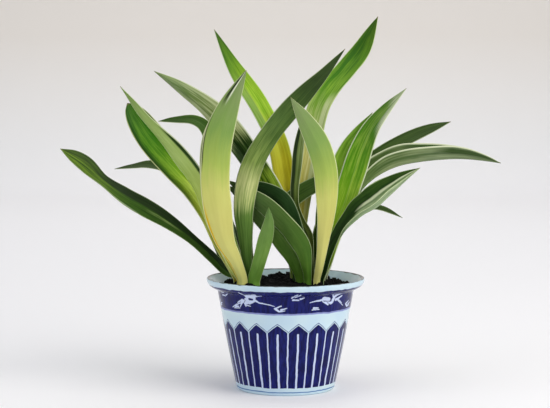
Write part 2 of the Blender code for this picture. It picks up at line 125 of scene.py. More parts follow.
leafLooks = {
    "goldToLime": leafLook(
        [(0.0, "#8c8410", "#b0a81c"), (0.42, "#a29912", "#c4be26"), (0.53, "#86991a", "#b9c238"),
         (0.64, "#5f8f16", "#b4cc48"), (0.84, "#34600c", "#6a9820"), (1.0, "#284c0c", "#426a14")],
        streaks=0.8, bands=0.6, sharp=1.6, margin="#c9dc9a",
        patches=[dict(tone=("#4c7620", "#7ea24a"), across=[(0.38, 1.0), (0.43, 0.0)],
                      along=[(0.52, 0.0), (0.57, 0.9), (0.7, 0.9), (0.82, 0.0)]),
                 dict(tone=("#7fb01c", "#b4da44"), across=[(0.43, 0.0), (0.49, 0.9)],
                      along=[(0.56, 0.0), (0.62, 0.9), (0.74, 0.9), (0.86, 0.0)])]),
    "creamToGreen": leafLook(
        [(0.0, "#cbb238", "#e6d468"), (0.42, "#c4bf62", "#e6e39a"), (0.54, "#7fa43a", "#d0da92"),
         (0.65, "#3f7a10", "#8cb43a"), (0.82, "#2c5c0a", "#5c8c1a"), (1.0, "#264408", "#436214")],
        streaks=0.9, bands=0.6, sharp=1.8, margin="#c4d890",
        patches=[dict(tone=("#a2b470", "#ccd8a0"), across=[(0.66, 0.0), (0.72, 1.0)],
                      along=[(0.3, 0.5), (0.46, 1.0), (0.62, 1.0), (0.68, 0.0)])]),
    "limeStreak": leafLook(
        [(0.0, "#7c9a14", "#a4b82a"), (0.3, "#74a416", "#a8ca34"), (0.55, "#4c8810", "#92bc38"),
         (0.8, "#386814", "#789a3e"), (1.0, "#3a5c1c", "#6a8840")],
        streaks=1.0, bands=0.6, sharp=1.9, margin="#e4ecc8", rim=0.08, midrib=0.06),
    "paleLime": leafLook(
        [(0.0, "#8aa020", "#b4c640"), (0.35, "#8cb428", "#c0dc54"), (0.6, "#76a81e", "#a8d048"),
         (0.85, "#4a8012", "#86b43a"), (1.0, "#467018", "#749c34")],
        streaks=0.9, bands=0.6, sharp=1.5, margin="#e4ecc8", rim=0.08, roughness=0.45),
    "limeCentre": leafLook(
        [(0.0, "#b8a01e", "#d6c43a"), (0.22, "#bcc03c", "#e2e26e"), (0.42, "#b4c83c", "#dcea72"),
         (0.6, "#669a1a", "#a8cc40"), (0.78, "#34700e", "#6a9e26"), (1.0, "#1f4a0c", "#3c6c1c")],
        streaks=1.0, bands=0.6, sharp=1.6, margin="#cfd894",
        # painted shade: dark bands along both sides, where the blade curves away and the next leaf
        # shades it
        patches=[dict(tone=("#1a3c0a", "#315e16"),
                      across=[(0.04, 1.0), (0.2, 0.0), (0.84, 0.0), (0.96, 0.8)],
                      along=[(0.3, 0.0), (0.46, 0.9), (0.9, 1.0)])]),
    "freshGreen": leafLook(
        [(0.0, "#55742a", "#7f9440"), (0.4, "#2f5a14", "#527c26"), (0.8, "#28480f", "#43661c"),
         (1.0, "#243f10", "#3c5a1c")],
        streaks=0.7, bands=0.4, sharp=1.4, margin="#c4d29a", midrib=0.08, roughness=0.42),
    "darkGreen": leafLook(
        [(0.0, "#1c3410", "#2d4a18"), (0.4, "#1a340c", "#2f4f18"), (0.75, "#20400e", "#3c5c1c"),
         (1.0, "#243c10", "#3a561c")],
        streaks=0.7, bands=0.5, sharp=1.5, margin="#a9bc84", midrib=0.1),
    "greenHalfInShade": leafLook(
        [(0.0, "#324e18", "#46662a"), (0.36, "#223e0a", "#365814"), (0.62, "#22400a", "#3c6016"),
         (0.78, "#2a460e", "#567420"), (1.0, "#2a480e", "#6c8a24")],
        streaks=1.1, bands=0.6, sharp=1.5, margin="#a4b484", rim=0.04,
        # painted shade: the back half darkened where the leaves around it shade it
        patches=[dict(tone=("#122406", "#20380e"), across=[(0.5, 0.0), (0.62, 1.0)],
                      along=[(0.02, 0.6), (0.15, 1.0), (0.72, 1.0), (0.86, 0.5)]),
                 # painted sheen: a pale patch in the middle of the blade
                 dict(tone=("#4c6e28", "#a4b874"),
                      across=[(0.33, 0.0), (0.4, 0.8), (0.46, 0.8), (0.52, 0.0)],
                      along=[(0.36, 0.0), (0.44, 0.8), (0.5, 0.8), (0.56, 0.0)]),
                 dict(tone=("#8ea47c", "#c4d0b0"), across=[(0.03, 0.7), (0.1, 0.0)],
                      along=[(0.56, 0.0), (0.64, 0.8), (0.76, 0.8), (0.84, 0.0)])]),
    # painted shade: an underside low under the canopy, painted dark instead of its own pale green
    "underInShade": leafLook(
        [(0.0, "#1c3814", "#2c5020"), (0.5, "#1b3816", "#2f5424"), (1.0, "#24401c", "#3c5c30")],
        streaks=0.5, bands=0.3, sharp=1.2, margin="#a2b68c", midrib=0.05, roughness=0.42),
    "midGreen": leafLook(
        [(0.0, "#426c1c", "#5c8428"), (0.4, "#3e6220", "#5c7c32"), (0.75, "#42602c", "#647e44"),
         (1.0, "#4c6238", "#708454")],
        streaks=0.55, bands=0.3, sharp=1.1, margin="#bccb9c", roughness=0.5),
    "softGreen": leafLook(
        [(0.0, "#4f7c24", "#6c9838"), (0.5, "#5a8234", "#82a452"), (1.0, "#4c6e34", "#6c8a4c")],
        streaks=0.45, bands=0.3, sharp=1.0, margin="#b4c890", roughness=0.5),
    "shadeGreen": leafLook(
        [(0.0, "#2c440c", "#405a16"), (0.5, "#28420c", "#3e5c18"), (1.0, "#283c12", "#42582a")],
        streaks=0.7, bands=0.5, sharp=1.4, margin="#9cac7c", rim=0.06, roughness=0.5),
    "greenShadedStripe": leafLook(
        [(0.0, "#46541c", "#6c7c34"), (0.5, "#4c6420", "#788c40"), (1.0, "#5a7236", "#94a868")],
        streaks=0.6, bands=0.6, sharp=1.6, margin="#c4d0a0", rim=0.07, roughness=0.45,
        # painted shade: a dark stripe along the inner side of the fold
        patches=[dict(tone=("#1a2c10", "#2c421a"), across=[(0.3, 1.0), (0.42, 0.0)],
                      along=[(0.0, 0.7), (0.9, 1.0)])]),
    "olive": leafLook(
        [(0.0, "#486020", "#688034"), (0.34, "#365216", "#56742c"), (0.46, "#3f5c20", "#6c8444"),
         (0.56, "#506a34", "#8c9c68"), (0.72, "#4a6038", "#8e9e72"), (1.0, "#42562f", "#66794c")],
        streaks=0.9, bands=0.6, sharp=1.4, margin="#dce4c0", rim=0.06, roughness=0.5,
        patches=[dict(tone=("#24380f", "#3c5622"),
                      across=[(0.74, 0.0), (0.8, 1.0), (0.91, 1.0), (0.94, 0.0)],
                      along=[(0.68, 0.0), (0.76, 1.0)])]),
    "streakyOlive": leafLook(
        [(0.0, "#5c7c10", "#8fae2c"), (0.42, "#4a6e10", "#a4c43c"), (0.48, "#1e360a", "#36541a"),
         (0.57, "#243e0e", "#46662a"), (0.63, "#7c9244", "#d0d898"), (0.8, "#7c9450", "#c6d29a"),
         (0.92, "#62804a", "#a4b67c"), (1.0, "#56703c", "#8a9e64")],
        streaks=1.1, bands=0.6, sharp=2.0, margin="#dfe6c4", rim=0.07, roughness=0.5),
    "sageCream": leafLook(
        [(0.0, "#cecb72", "#e1de8b"), (0.3, "#cbc76c", "#dad680"), (0.45, "#c6c966", "#d4d67c"),
         (0.56, "#9cb44e", "#b9cb66"), (0.72, "#769a48", "#90ae5c"), (1.0, "#728656", "#8c9c6c")],
        streaks=0.45, bands=0.2, sharp=0.8, margin="#e2e8b4", roughness=0.58),
    "sage": leafLook(
        [(0.0, "#a4ae48", "#bec864"), (0.34, "#a6bc48", "#c6d666"), (0.6, "#98b656", "#bfd580"),
         (1.0, "#66823e", "#8aa65e")],
        streaks=0.6, bands=0.35, sharp=1.2, margin="#dce6b8", rim=0.06, roughness=0.58),
    "paleUnder": leafLook(
        [(0.0, "#2c4414", "#42601e"), (0.36, "#2c4612", "#4c6a26"), (0.46, "#5c7844", "#8ca474"),
         (0.8, "#6c8454", "#a4b88c"), (1.0, "#728a5c", "#a0b488")],
        streaks=0.8, bands=0.6, sharp=1.5, margin="#dce6c0", rim=0.03, roughness=0.55),
    # an underside with a pale band painted as sheen, and a darker tip painted as shade where light
    # comes from behind
    "sheenBandShadedTip": leafLook(
        [(0.0, "#3f6520", "#53772b"), (0.27, "#486a26", "#64863a"), (0.32, "#7c9848", "#c4cc84"),
         (0.39, "#96a55c", "#d0d592"), (0.47, "#506e2a", "#90a654"), (0.64, "#405e28", "#62803c"),
         (0.82, "#2a3f1a", "#3c5324"), (1.0, "#263818", "#374a22")],
        streaks=1.1, bands=0.4, sharp=1.6, margin="#b4c296", roughness=0.5),
}
leafLooks["creamGoldEdge"] = dict(leafLooks["sageCream"], patches=[
    dict(tone=("#cca40a", "#e6c622"), across=[(0.87, 0.0), (0.92, 1.0)],
         along=[(0.02, 0.6), (0.1, 1.0), (0.32, 1.0), (0.4, 0.0)]),
    dict(tone=("#18220e", "#2c3a1c"), across=[(0.92, 0.0), (0.96, 1.0)],
         along=[(0.5, 0.0), (0.56, 0.9), (0.7, 0.9), (0.76, 0.0)]),
    dict(tone=("#dfe6c8", "#eef2dc"), across=[(0.6, 0.0), (0.65, 1.0), (0.71, 1.0), (0.74, 0.0)],
         along=[(0.83, 0.0), (0.89, 0.9)]),
    dict(tone=("#10180a", "#26331a"), across=[(0.71, 0.0), (0.75, 1.0), (0.86, 1.0), (0.9, 0.0)],
         along=[(0.83, 0.0), (0.88, 0.9), (0.98, 1.0), (1.0, 0.4)])])
leafLooks["limePaleTip"] = dict(leafLooks["limeStreak"], stops=[
    (0.0, "#8aa818", "#b4c830"), (0.3, "#86b422", "#b4d444"), (0.55, "#589414", "#98c03c"),
    (0.8, "#3c6c16", "#789a3e"), (1.0, "#3a5c1c", "#6a8840")], patches=[
    dict(tone=("#93a47a", "#c6d0ac"), across=[(0.64, 0.0), (0.7, 1.0)],
         along=[(0.72, 0.0), (0.8, 0.9)]),
    dict(tone=("#8c9c72", "#bcc8a2"), across=[(0.0, 1.0), (1.0, 1.0)],
         along=[(0.88, 0.0), (0.93, 0.9)])])
leafLooks["sageDarkEdge"] = dict(leafLooks["sage"], patches=[
    dict(tone=("#1f3a0e", "#355618"), across=[(0.13, 1.0), (0.19, 0.0)],
         along=[(0.3, 0.0), (0.38, 1.0), (0.68, 1.0), (0.76, 0.0)])])
# painted shade: the far half darkened inside the channel of the fold
leafLooks["darkHalf"] = dict(leafLooks["olive"], patches=[
    dict(tone=("#223a12", "#3c5a22"), across=[(0.44, 1.0), (0.52, 0.0)],
         along=[(0.55, 0.3), (0.66, 1.0)])])
leafLooks["channelFace"] = dict(leafLooks["darkGreen"], midrib=0.0, rim=0.02, patches=[
    # painted sheen: the near half of the dark upper face made pale grey-green
    dict(tone=("#5c7844", "#a8bc8e"), across=[(0.24, 0.0), (0.27, 1.0)],
         along=[(0.5, 0.0), (0.56, 1.0)]),
    dict(tone=("#5c7844", "#a8bc8e"), across=[(0.52, 0.0), (0.6, 1.0)],
         along=[(0.36, 0.0), (0.46, 1.0)]),
    # painted highlight: a whitish line along the near half
    dict(tone=("#d2dcb4", "#e4ebcc"), across=[(0.21, 0.0), (0.24, 1.0), (0.27, 1.0), (0.3, 0.0)],
         along=[(0.5, 0.0), (0.56, 1.0)])])
leafLooks["darkShoulder"] = dict(leafLooks["sageCream"], stops=[
    (0.0, "#a89a24", "#c8b83c"), (0.3, "#8ca434", "#b0be50"), (0.45, "#2c4414", "#4c6a28"),
    (0.8, "#1f3410", "#38501f"), (1.0, "#3c5226", "#5c7440")], rim=0.09)


# noises: features across a leaf and along it, for veins, short dashes, long bands, slow clouding
leafSkin = dict(
    noises=dict(veins=(24, 3.0), dashes=(12, 9.0), bands=(5.0, 0.9), clouds=(1.4, 5.0)),
    detail=2.5, noiseRoughness=0.6, clouding=0.35, blur=0.2,
    bandShift=0.12, veinShift=0.1, patchShift=0.08, edgeShift=0.04,  # how far a colour's edge strays
    midribWidth=0.07, marginShare=0.9, dryTip=(0.985, 0.999), dryShare=0.75, dry="#7d6f45",
    paleRoughness=0.1, specular=0.13, veinStrength=0.5, veinDepth=0.5)


def leafMaterial(name, look):
    material, tree, shader = newMaterial(name)
    place = add(tree, "UVMap", uv_map="leafMap")
    across = add(tree, "SeparateXYZ", [place], 0)
    along = add(tree, "SeparateXYZ", [place], 1)
    seed = add(tree, "Attribute", attribute_name="leafSeed", output=2)
    noises = {}
    for key, (lines, stretch) in leafSkin["noises"].items():
        drawn = add(tree, "CombineXYZ", [
            add(tree, "Math", [across, lines], operation="MULTIPLY"),
            add(tree, "Math", [along, stretch], operation="MULTIPLY"), seed])
        noises[key] = add(tree, "TexNoise", {
            "Vector": drawn, "Scale": 1.0, "Detail": leafSkin["detail"],
            "Roughness": leafSkin["noiseRoughness"]})

    # tone: how far the tissue's light tone shows at a place
    fine = add(tree, "Math", [noises["veins"], noises["dashes"]], operation="ADD")
    tone = add(tree, "Math", [fine, look["streaks"] / 2, 0.5 - look["streaks"] / 2],
               operation="MULTIPLY_ADD")
    tone = add(tree, "Math", [noises["bands"], look["bands"], tone], operation="MULTIPLY_ADD")
    tone = add(tree, "Math", [noises["clouds"], leafSkin["clouding"], tone], operation="MULTIPLY_ADD")
    middle = 0.5 + look["bands"] / 2 + leafSkin["clouding"] / 2
    blur = leafSkin["blur"] / look["sharp"]
    tone = add(tree, "MapRange", {0: tone, 1: middle - blur, 2: middle + blur})

    # stage: the place from foot to tip; each streak changes colour a little sooner or later
    stage = add(tree, "Math", [noises["bands"], leafSkin["bandShift"], along],
                operation="MULTIPLY_ADD")
    stage = add(tree, "Math", [noises["veins"], leafSkin["veinShift"], stage],
                operation="MULTIPLY_ADD")
    stage = add(tree, "Math", [stage, (leafSkin["bandShift"] + leafSkin["veinShift"]) / 2],
                operation="SUBTRACT")
    dark = add(tree, "ValToRGB", [stage], stops=[(at, deep) for at, deep, pale in look["stops"]])
    light = add(tree, "ValToRGB", [stage], stops=[(at, pale) for at, deep, pale in look["stops"]])
    colour = add(tree, "Mix", {0: tone, 6: dark, 7: light}, 2, data_type="RGBA")

    shift = leafSkin["patchShift"]
    # patches: other tissue, painted shade and painted sheen, each laid over the colour so far
    for patch in look["patches"]:
        deep, pale = patch["tone"]
        patchColour = add(tree, "Mix", {0: tone, 6: deep, 7: pale}, 2, data_type="RGBA")
        uneven = add(tree, "Math", [noises["clouds"], shift, across], operation="MULTIPLY_ADD")
        uneven = add(tree, "Math", [uneven, shift / 2], operation="SUBTRACT")
        share = add(tree, "Math", [add(tree, "ValToRGB", [uneven], stops=patch["across"]),
                                   add(tree, "ValToRGB", [stage], stops=patch["along"])],
                    operation="MULTIPLY")
        colour = add(tree, "Mix", {0: share, 6: colour, 7: patchColour}, 2, data_type="RGBA")

    # midrib, pale margin with a painted highlight along it, and a tip dried to brown
    fromMiddle = add(tree, "Math", [across, 2.0, -1.0], operation="MULTIPLY_ADD")
    fromMiddle = add(tree, "Math", [fromMiddle], operation="ABSOLUTE")
    if look["midrib"]:
        midrib = add(tree, "ValToRGB", [fromMiddle],
                     stops=[(0.0, look["midrib"]), (leafSkin["midribWidth"], 0.0)])
        colour = add(tree, "Mix", {0: midrib, 6: colour, 7: look["margin"]}, 2, data_type="RGBA")
    edge = add(tree, "Math", [noises["clouds"], leafSkin["edgeShift"], fromMiddle],
               operation="MULTIPLY_ADD")
    fullEdge = 1.0 + leafSkin["edgeShift"] / 2 - look["rim"] / 2
    edge = add(tree, "ValToRGB", [edge],
               stops=[(1.0 - look["rim"], 0.0), (fullEdge, leafSkin["marginShare"])])
    colour = add(tree, "Mix", {0: edge, 6: colour, 7: look["margin"]}, 2, data_type="RGBA")
    dryFrom, dryTo = leafSkin["dryTip"]
    tip = add(tree, "ValToRGB", [along], stops=[(dryFrom, 0.0), (dryTo, leafSkin["dryShare"])])
    colour = add(tree, "Mix", {0: tip, 6: colour, 7: leafSkin["dry"]}, 2, data_type="RGBA")
    tree.links.new(colour, shader.inputs["Base Color"])

    rough = add(tree, "Math", [tone, leafSkin["paleRoughness"], look["roughness"]],
                operation="MULTIPLY_ADD")
    tree.links.new(rough, shader.inputs["Roughness"])
    shader.inputs["Specular IOR Level"].default_value = leafSkin["specular"]
    bump = add(tree, "Bump", {"Height": noises["veins"], "Strength": leafSkin["veinStrength"],
                              "Distance": leafSkin["veinDepth"] * mm})
    tree.links.new(bump, shader.inputs["Normal"])
    return material


materials = {key: leafMaterial("livingLeaf_" + key, look) for key, look in leafLooks.items()}

# blade: faces across and along it, thickness in mm, and shares of its length or half width
leafMaking = dict(
    across=14, along=80, curveSteps=24,
    foot=113.5, sheath=7.0,                       # height of the leaves' feet, and their upright part
    footShare=0.38, footEnd=0.4, taper=1.7,
    middleThickness=1.3, edgeShare=0.45, edgeThinning=1.5, thinTip=0.1,
    turnStart=0.05, turnLength=0.5, foldCurve=1.35,
    rippleFoot=0.35, rippleTip=0.2,
    otherHeight=0.6, otherStart=1.9,              # the second margin ripples less, and out of step
    seed=11, seedSpread=60)


# path: the midrib's points in mm, foot first
# width: the greatest width in mm of a plain taper, or points of (place along the leaf, half width)
# low, high: where the upper face looks at the foot and further up
# fold: degrees that each half rises, at the foot and further up
# wave: the margin's ripple, as height in mm, number and start; widest: where a plain taper starts
def leaf(path, width, low, high, upper, under, fold=(30, 12), wave=(1.2, 3.0, 0.0), widest=0.66):
    return dict(path=path, width=width, low=low, high=high, upper=upper, under=under, fold=fold,
                wave=wave, widest=widest)


leaves = {
    "leaf_front_left": leaf(
        [(-46, -38), (-53, -42, 140), (-65, -48, 165), (-73, -60, 213), (-73, -70, 244),
         (-69, -80, 274), (-57, -92, 308), (-40, -104, 342)],
        31, (0.2, 1, 0), (0.05, 1, 0.25), "freshGreen", "creamGoldEdge", wave=(0.8, 2.0, 0.0)),
    "leaf_front_left_behind": leaf(
        [(-48, -32), (-57, -36, 140), (-67, -41, 169), (-75, -50, 212), (-77, -60, 249),
         (-74, -66, 270), (-60, -78, 304), (-42, -90, 341)],
        26, (0.2, 1, 0), (0.05, 1, 0.2), "darkGreen", "darkShoulder", wave=(0.8, 2.0, 0.0)),
    "leaf_front_short": leaf(
        [(-34, -39), (-28, -45, 141), (-22, -51, 162), (-18, -56, 181), (-18, -58, 200)],
        [(0, 7.4), (0.35, 7.8), (0.6, 8.4), (0.8, 6.2), (0.92, 3), (1, 0)],
        (0.1, 1, 0), (-0.1, 1, 0.1), "freshGreen", "softGreen", fold=(30, 25),
        wave=(0.4, 2.0, 0.0)),
    "leaf_centre_diagonal": leaf(
        [(-38, -30), (-41, -33, 140), (-43, -35, 169), (-44, -38, 197), (-35, -43, 240),
         (-17, -49, 273), (21, -56, 318), (40, -60, 339), (61, -62, 364)],
        25, (0.1, 1, 0), (-0.35, 0.9, 0.3), "freshGreen", "sheenBandShadedTip"),
    "leaf_left_narrow": leaf(
        [(-48, -26), (-55, -25, 131), (-67, -25, 161), (-81, -27, 197), (-96, -28, 227),
         (-116, -29, 254), (-144.5, -29, 286.5), (-174, -30, 325)],
        [(0, 4.8), (0.2, 9), (0.36, 15.5), (0.55, 16), (0.7, 12.5), (0.88, 6), (1, 0)],
        (0.2, 1, 0), (0.68, 0.62, 0.42), "freshGreen", "sageDarkEdge"),
    "leaf_left_wide": leaf(
        [(-50, -18), (-56, -15, 134), (-69, -13, 162), (-79, -11, 191), (-95, -9, 217),
         (-117, -7, 240), (-142, -5, 268), (-169, -3, 307)],
        [(0, 6.4), (0.2, 10), (0.4, 15), (0.6, 16.4), (0.8, 16), (0.91, 13), (0.97, 7.5), (1, 0)],
        (0.1, -1, 0), (0.15, -0.95, 0.2), "limeCentre", "sage", fold=(30, 8)),
    "leaf_left_low": leaf(
        [(-50, -9), (-64, -8, 127), (-78, -8, 141), (-102, -11, 163), (-129, -14, 183),
         (-150, -18, 196), (-170, -23, 208), (-193, -28, 225.5), (-211, -34, 243),
         (-236, -42, 260)],
        [(0, 4.4), (0.16, 6), (0.29, 6), (0.42, 8.8), (0.55, 12.2), (0.65, 11), (0.765, 7),
         (0.866, 10.5), (0.935, 8), (1, 0)],
        (0.2, -1, 0.2), (0.35, -0.75, 0.55), "greenHalfInShade", "midGreen", fold=(28, 8),
        wave=(1.0, 3.0, 0.0)),
    "leaf_left_back_slim": leaf(
        [(-44, -3), (-51, 0, 136), (-64, 5, 165), (-75, 10, 197), (-78, 17, 240), (-82, 24, 267),
         (-89, 31, 281), (-101, 38, 287.5), (-119, 44, 287.5), (-139.5, 50, 286)],
        [(0, 4), (0.35, 6.5), (0.6, 6.5), (0.76, 7.5), (0.87, 6.4), (0.94, 4), (1, 0)],
        (0, -1, 0), (0.1, -0.7, 0.7), "freshGreen", "sage"),
    "leaf_left_back_low": leaf(
        [(-51, 2), (-64, 8, 135), (-80, 14, 173), (-99, 24, 206), (-128, 34, 232), (-150, 41, 238),
         (-169, 46, 236), (-188, 50, 233.5)],
        [(0, 4.4), (0.3, 7), (0.55, 9), (0.82, 8.6), (0.91, 5.5), (1, 0)],
        (0, -1, 0), (0.3, -0.45, 0.85), "shadeGreen", "shadeGreen"),
    "leaf_right_far": leaf(
        [(-32, -9), (-28, 0, 136), (-21, 8, 159), (-12, 13, 180), (3, 14, 198), (23, 18, 212),
         (53, 25, 225), (81, 32, 234), (98, 36, 244), (114, 40, 255), (131, 44, 265),
         (148, 48, 273), (165, 51, 279.5), (182, 54, 285.5)],
        [(0, 4.4), (0.2, 8), (0.4, 11), (0.69, 11.5), (0.82, 10), (0.883, 8.2), (0.943, 5.2),
         (1, 0)],
        (-0.1, -1, 0), (-0.35, -0.75, 0.65), "shadeGreen", "shadeGreen"),
    "leaf_back_left": leaf(
        [(-43, 8), (-54, 16, 141), (-69, 30, 173), (-75, 48, 211), (-76, 70, 248), (-71, 92, 284),
         (-64, 105, 304)],
        26, (0, -1, 0), (0.1, -0.8, 0.6), "limeStreak", "sage"),
    "leaf_back_centre": leaf(
        [(-32, 4), (-40, 12, 141), (-44, 20, 168), (-43, 34, 201), (-36, 53, 238), (-17, 78, 271),
         (6, 104, 297)],
        22, (0, -1, 0), (0, -0.8, 0.6), "freshGreen", "olive"),
    "leaf_back_left_low": leaf(
        [(-44, 15), (-57, 28, 141), (-68, 54, 171), (-77, 86, 182), (-81, 106, 168)],
        26, (0, -1, 0), (0, 0.3, 0.95), "darkGreen", "midGreen"),
    "leaf_front_right": leaf(
        [(33, -32), (35.5, -36, 134), (39.5, -42, 164), (42.5, -52, 202), (40.5, -64, 239),
         (32, -76, 267), (19, -86, 291), (4, -95, 315)],
        [(0, 3.8), (0.12, 5), (0.24, 6.8), (0.36, 9.6), (0.48, 12), (0.62, 12.8), (0.75, 12.2),
         (0.88, 7.6), (1, 0)],
        (-0.1, 1, 0), (0, 1, 0.25), "freshGreen", "sageCream", wave=(0.8, 2.0, 0.0)),
    "leaf_front_centre": leaf(
        [(23, -30), (22, -33, 133), (18, -36, 153), (9, -37, 168), (-10, -36, 189), (-38, -26, 210),
         (-63, -19, 226)],
        22, (0.1, 1, 0), (0.2, 0.9, 0.4), "freshGreen", "midGreen", fold=(28, 8)),
    "leaf_front_centre_behind": leaf(
        [(15, -22), (12, -24, 132), (6, -26, 149), (-6, -27, 166), (-25, -22, 187), (-48, -14, 209),
         (-63, -9, 219)],
        26, (0.1, 1, 0), (0.2, 0.9, 0.4), "freshGreen", "midGreen", fold=(25, 8)),
    "leaf_dark_arch": leaf(
        [(12, -14), (11, -18, 151), (3, -18, 186), (-6, -16, 203), (-24, -11, 216), (-44, -5, 222)],
        24, (0.1, 1, 0), (0.1, 0.9, 0.4), "freshGreen", "underInShade", fold=(25, 8)),
    "leaf_left_streaky": leaf(
        [(12, -4), (9, -5, 137), (-1, -5, 169), (-18, -1, 206), (-47, 1, 255), (-78, -5, 293),
         (-109, -14, 320), (-139, -22, 341)],
        36, (0.1, 1, 0), (0.35, 0.7, 0.5), "freshGreen", "streakyOlive", fold=(28, 22)),
    "leaf_centre_upright": leaf(
        [(27, -5), (26, -5, 150), (25, -5, 166), (16.5, -6, 182), (11, -7, 197), (10, -8, 214),
         (12, -9, 236), (14, -10, 257), (17, -12, 278), (20, -13, 298)],
        [(0, 4.2), (0.2, 4.6), (0.45, 4.4), (0.62, 5.4), (0.75, 6.2), (0.88, 4.6), (1, 0)],
        (-0.1, -1, 0), (-0.3, -0.9, 0), "greenShadedStripe", "midGreen", fold=(25, 20),
        wave=(0.4, 2.0, 0.0)),
    "leaf_tall_left": leaf(
        [(9, 7), (8, 15, 148), (3, 22, 196), (-2, 29, 228), (-9, 38, 262), (-26, 52, 297),
         (-55, 75, 342), (-80, 100, 388)],
        24, (0, -1, 0), (0.2, -0.85, 0.45), "goldToLime", "sage"),
    "leaf_tall_right": leaf(
        [(15, 16), (15, 24, 147), (16, 30, 185), (20, 34, 223), (28, 40, 263), (37, 48, 301),
         (50, 57, 322), (67, 68, 341), (85, 82, 364), (104, 98, 402)],
        26, (0, -1, 0), (-0.3, -0.85, 0.4), "creamToGreen", "sage", widest=0.8),
    "leaf_right_channel": leaf(
        [(37.5, -22), (41, -24, 130), (45, -26, 144.5), (50.5, -28, 156.5), (57.5, -31, 167),
         (65, -34, 176.5), (73, -36, 184), (81, -37, 190.5), (95, -38, 198.5), (109, -37, 211),
         (122, -36, 223), (131.5, -35, 231.5), (141, -35, 239.5)],
        [(0, 4.6), (0.12, 5.5), (0.22, 7), (0.32, 9), (0.42, 13), (0.52, 19), (0.64, 23),
         (0.75, 21), (0.855, 14), (0.93, 7), (1, 0)],
        (-0.4, -0.9, 0), (-0.5, -0.5, 0.85), "channelFace", "paleUnder", fold=(30, 44),
        wave=(0.8, 3.0, 0.0)),
    "leaf_right_bright": leaf(
        [(38, -12), (44, -14, 138), (51, -14, 170), (62, -13, 199), (71, -12, 227), (81, -11, 257),
         (92, -11, 281), (106, -12, 300), (128, -13, 323)],
        28, (-0.2, -1, 0), (-0.35, -0.9, 0.2), "limePaleTip", "sage", widest=0.55),
    "leaf_right_bright_behind": leaf(
        [(34, -3), (39, -3, 137), (44, -1, 169), (51, 0, 198), (58, 1, 230), (69, 2, 260),
         (93, 2, 297)],
        24, (-0.2, -1, 0), (-0.35, -0.9, 0.2), "paleLime", "paleLime"),
    "leaf_right_long": leaf(
        [(39, 5), (44, 8, 135), (51, 9, 159), (61, 10, 181), (72, 10, 198), (82, 11, 213),
         (93, 11, 224), (107, 12, 233), (123, 13, 239.5), (145, 17, 243.5), (167, 23, 245.5),
         (190, 31, 246), (213, 40, 244), (237, 50, 240)],
        [(0, 7), (0.14, 9), (0.29, 13), (0.41, 19), (0.5, 24), (0.6, 25), (0.68, 22), (0.76, 19.5),
         (0.84, 15.5), (0.92, 8.5), (1, 0)],
        (-0.2, -1, 0), (-0.05, -0.1, 1), "darkHalf", "olive", fold=(25, 50), wave=(0.8, 3.0, 0.0)),
    "leaf_right_drooping": leaf(
        [(29, 8), (31, 14, 135), (37, 19, 165), (49, 23, 183), (72, 26, 191), (103, 30, 192),
         (128, 34, 181)],
        14, (0, -1, 0), (0.1, -0.6, 0.8), "shadeGreen", "shadeGreen"),
    "leaf_back_right": leaf(
        [(28, 22), (38, 34, 141), (43, 46, 173), (46, 58, 210), (43, 78, 242), (35, 97, 275),
         (27, 105, 290)],
        22, (0, -1, 0), (0, -0.8, 0.6), "freshGreen", "sage"),
    "leaf_back_far_right": leaf(
        [(38, 14), (43, 20, 134), (50, 28, 163), (61, 38, 195), (72, 54, 227), (84, 76, 256),
         (98, 102, 284)],
        24, (-0.1, -1, 0), (-0.2, -0.8, 0.6), "limeStreak", "olive"),
    "leaf_back_right_low": leaf(
        [(21, 26), (33, 44, 138), (43, 64, 161), (49, 88, 174), (51, 106, 164)],
        26, (0, -1, 0), (0, 0.3, 0.95), "darkGreen", "midGreen"),
}


def midribPoints(path, count):
    # even steps along a centripetal Catmull-Rom curve, which rises straight out of the crown
    rise = Vector((0, 0, leafMaking["sheath"]))
    foot = Vector((*path[0], leafMaking["foot"]))
    knots = [foot - rise, foot, foot + rise] + [Vector(point) for point in path[1:]]
    knots.append(2 * knots[-1] - knots[-2])
    dense = []
    for p0, p1, p2, p3 in zip(knots, knots[1:], knots[2:], knots[3:]):
        t1 = math.sqrt((p1 - p0).length)
        t2 = t1 + math.sqrt((p2 - p1).length)
        t3 = t2 + math.sqrt((p3 - p2).length)
        for step in range(leafMaking["curveSteps"]):
            t = t1 + (t2 - t1) * step / leafMaking["curveSteps"]
            a1 = p0.lerp(p1, t / t1)
            a2 = p1.lerp(p2, (t - t1) / (t2 - t1))
            a3 = p2.lerp(p3, (t - t2) / (t3 - t2))
            b1 = a1.lerp(a2, t / t2)
            b2 = a2.lerp(a3, (t - t1) / (t3 - t1))
            dense.append(b1.lerp(b2, (t - t1) / (t2 - t1)))
    dense.append(knots[-2])
    lengths = [0.0]
    for before, after in zip(dense, dense[1:]):
        lengths.append(lengths[-1] + (after - before).length)
    points, place = [], 0
    for index in range(count + 1):
        goal = lengths[-1] * index / count
        while place < len(dense) - 2 and lengths[place + 1] < goal:
            place += 1
        share = (goal - lengths[place]) / (lengths[place + 1] - lengths[place])
        points.append(dense[place].lerp(dense[place + 1], share))
    return points


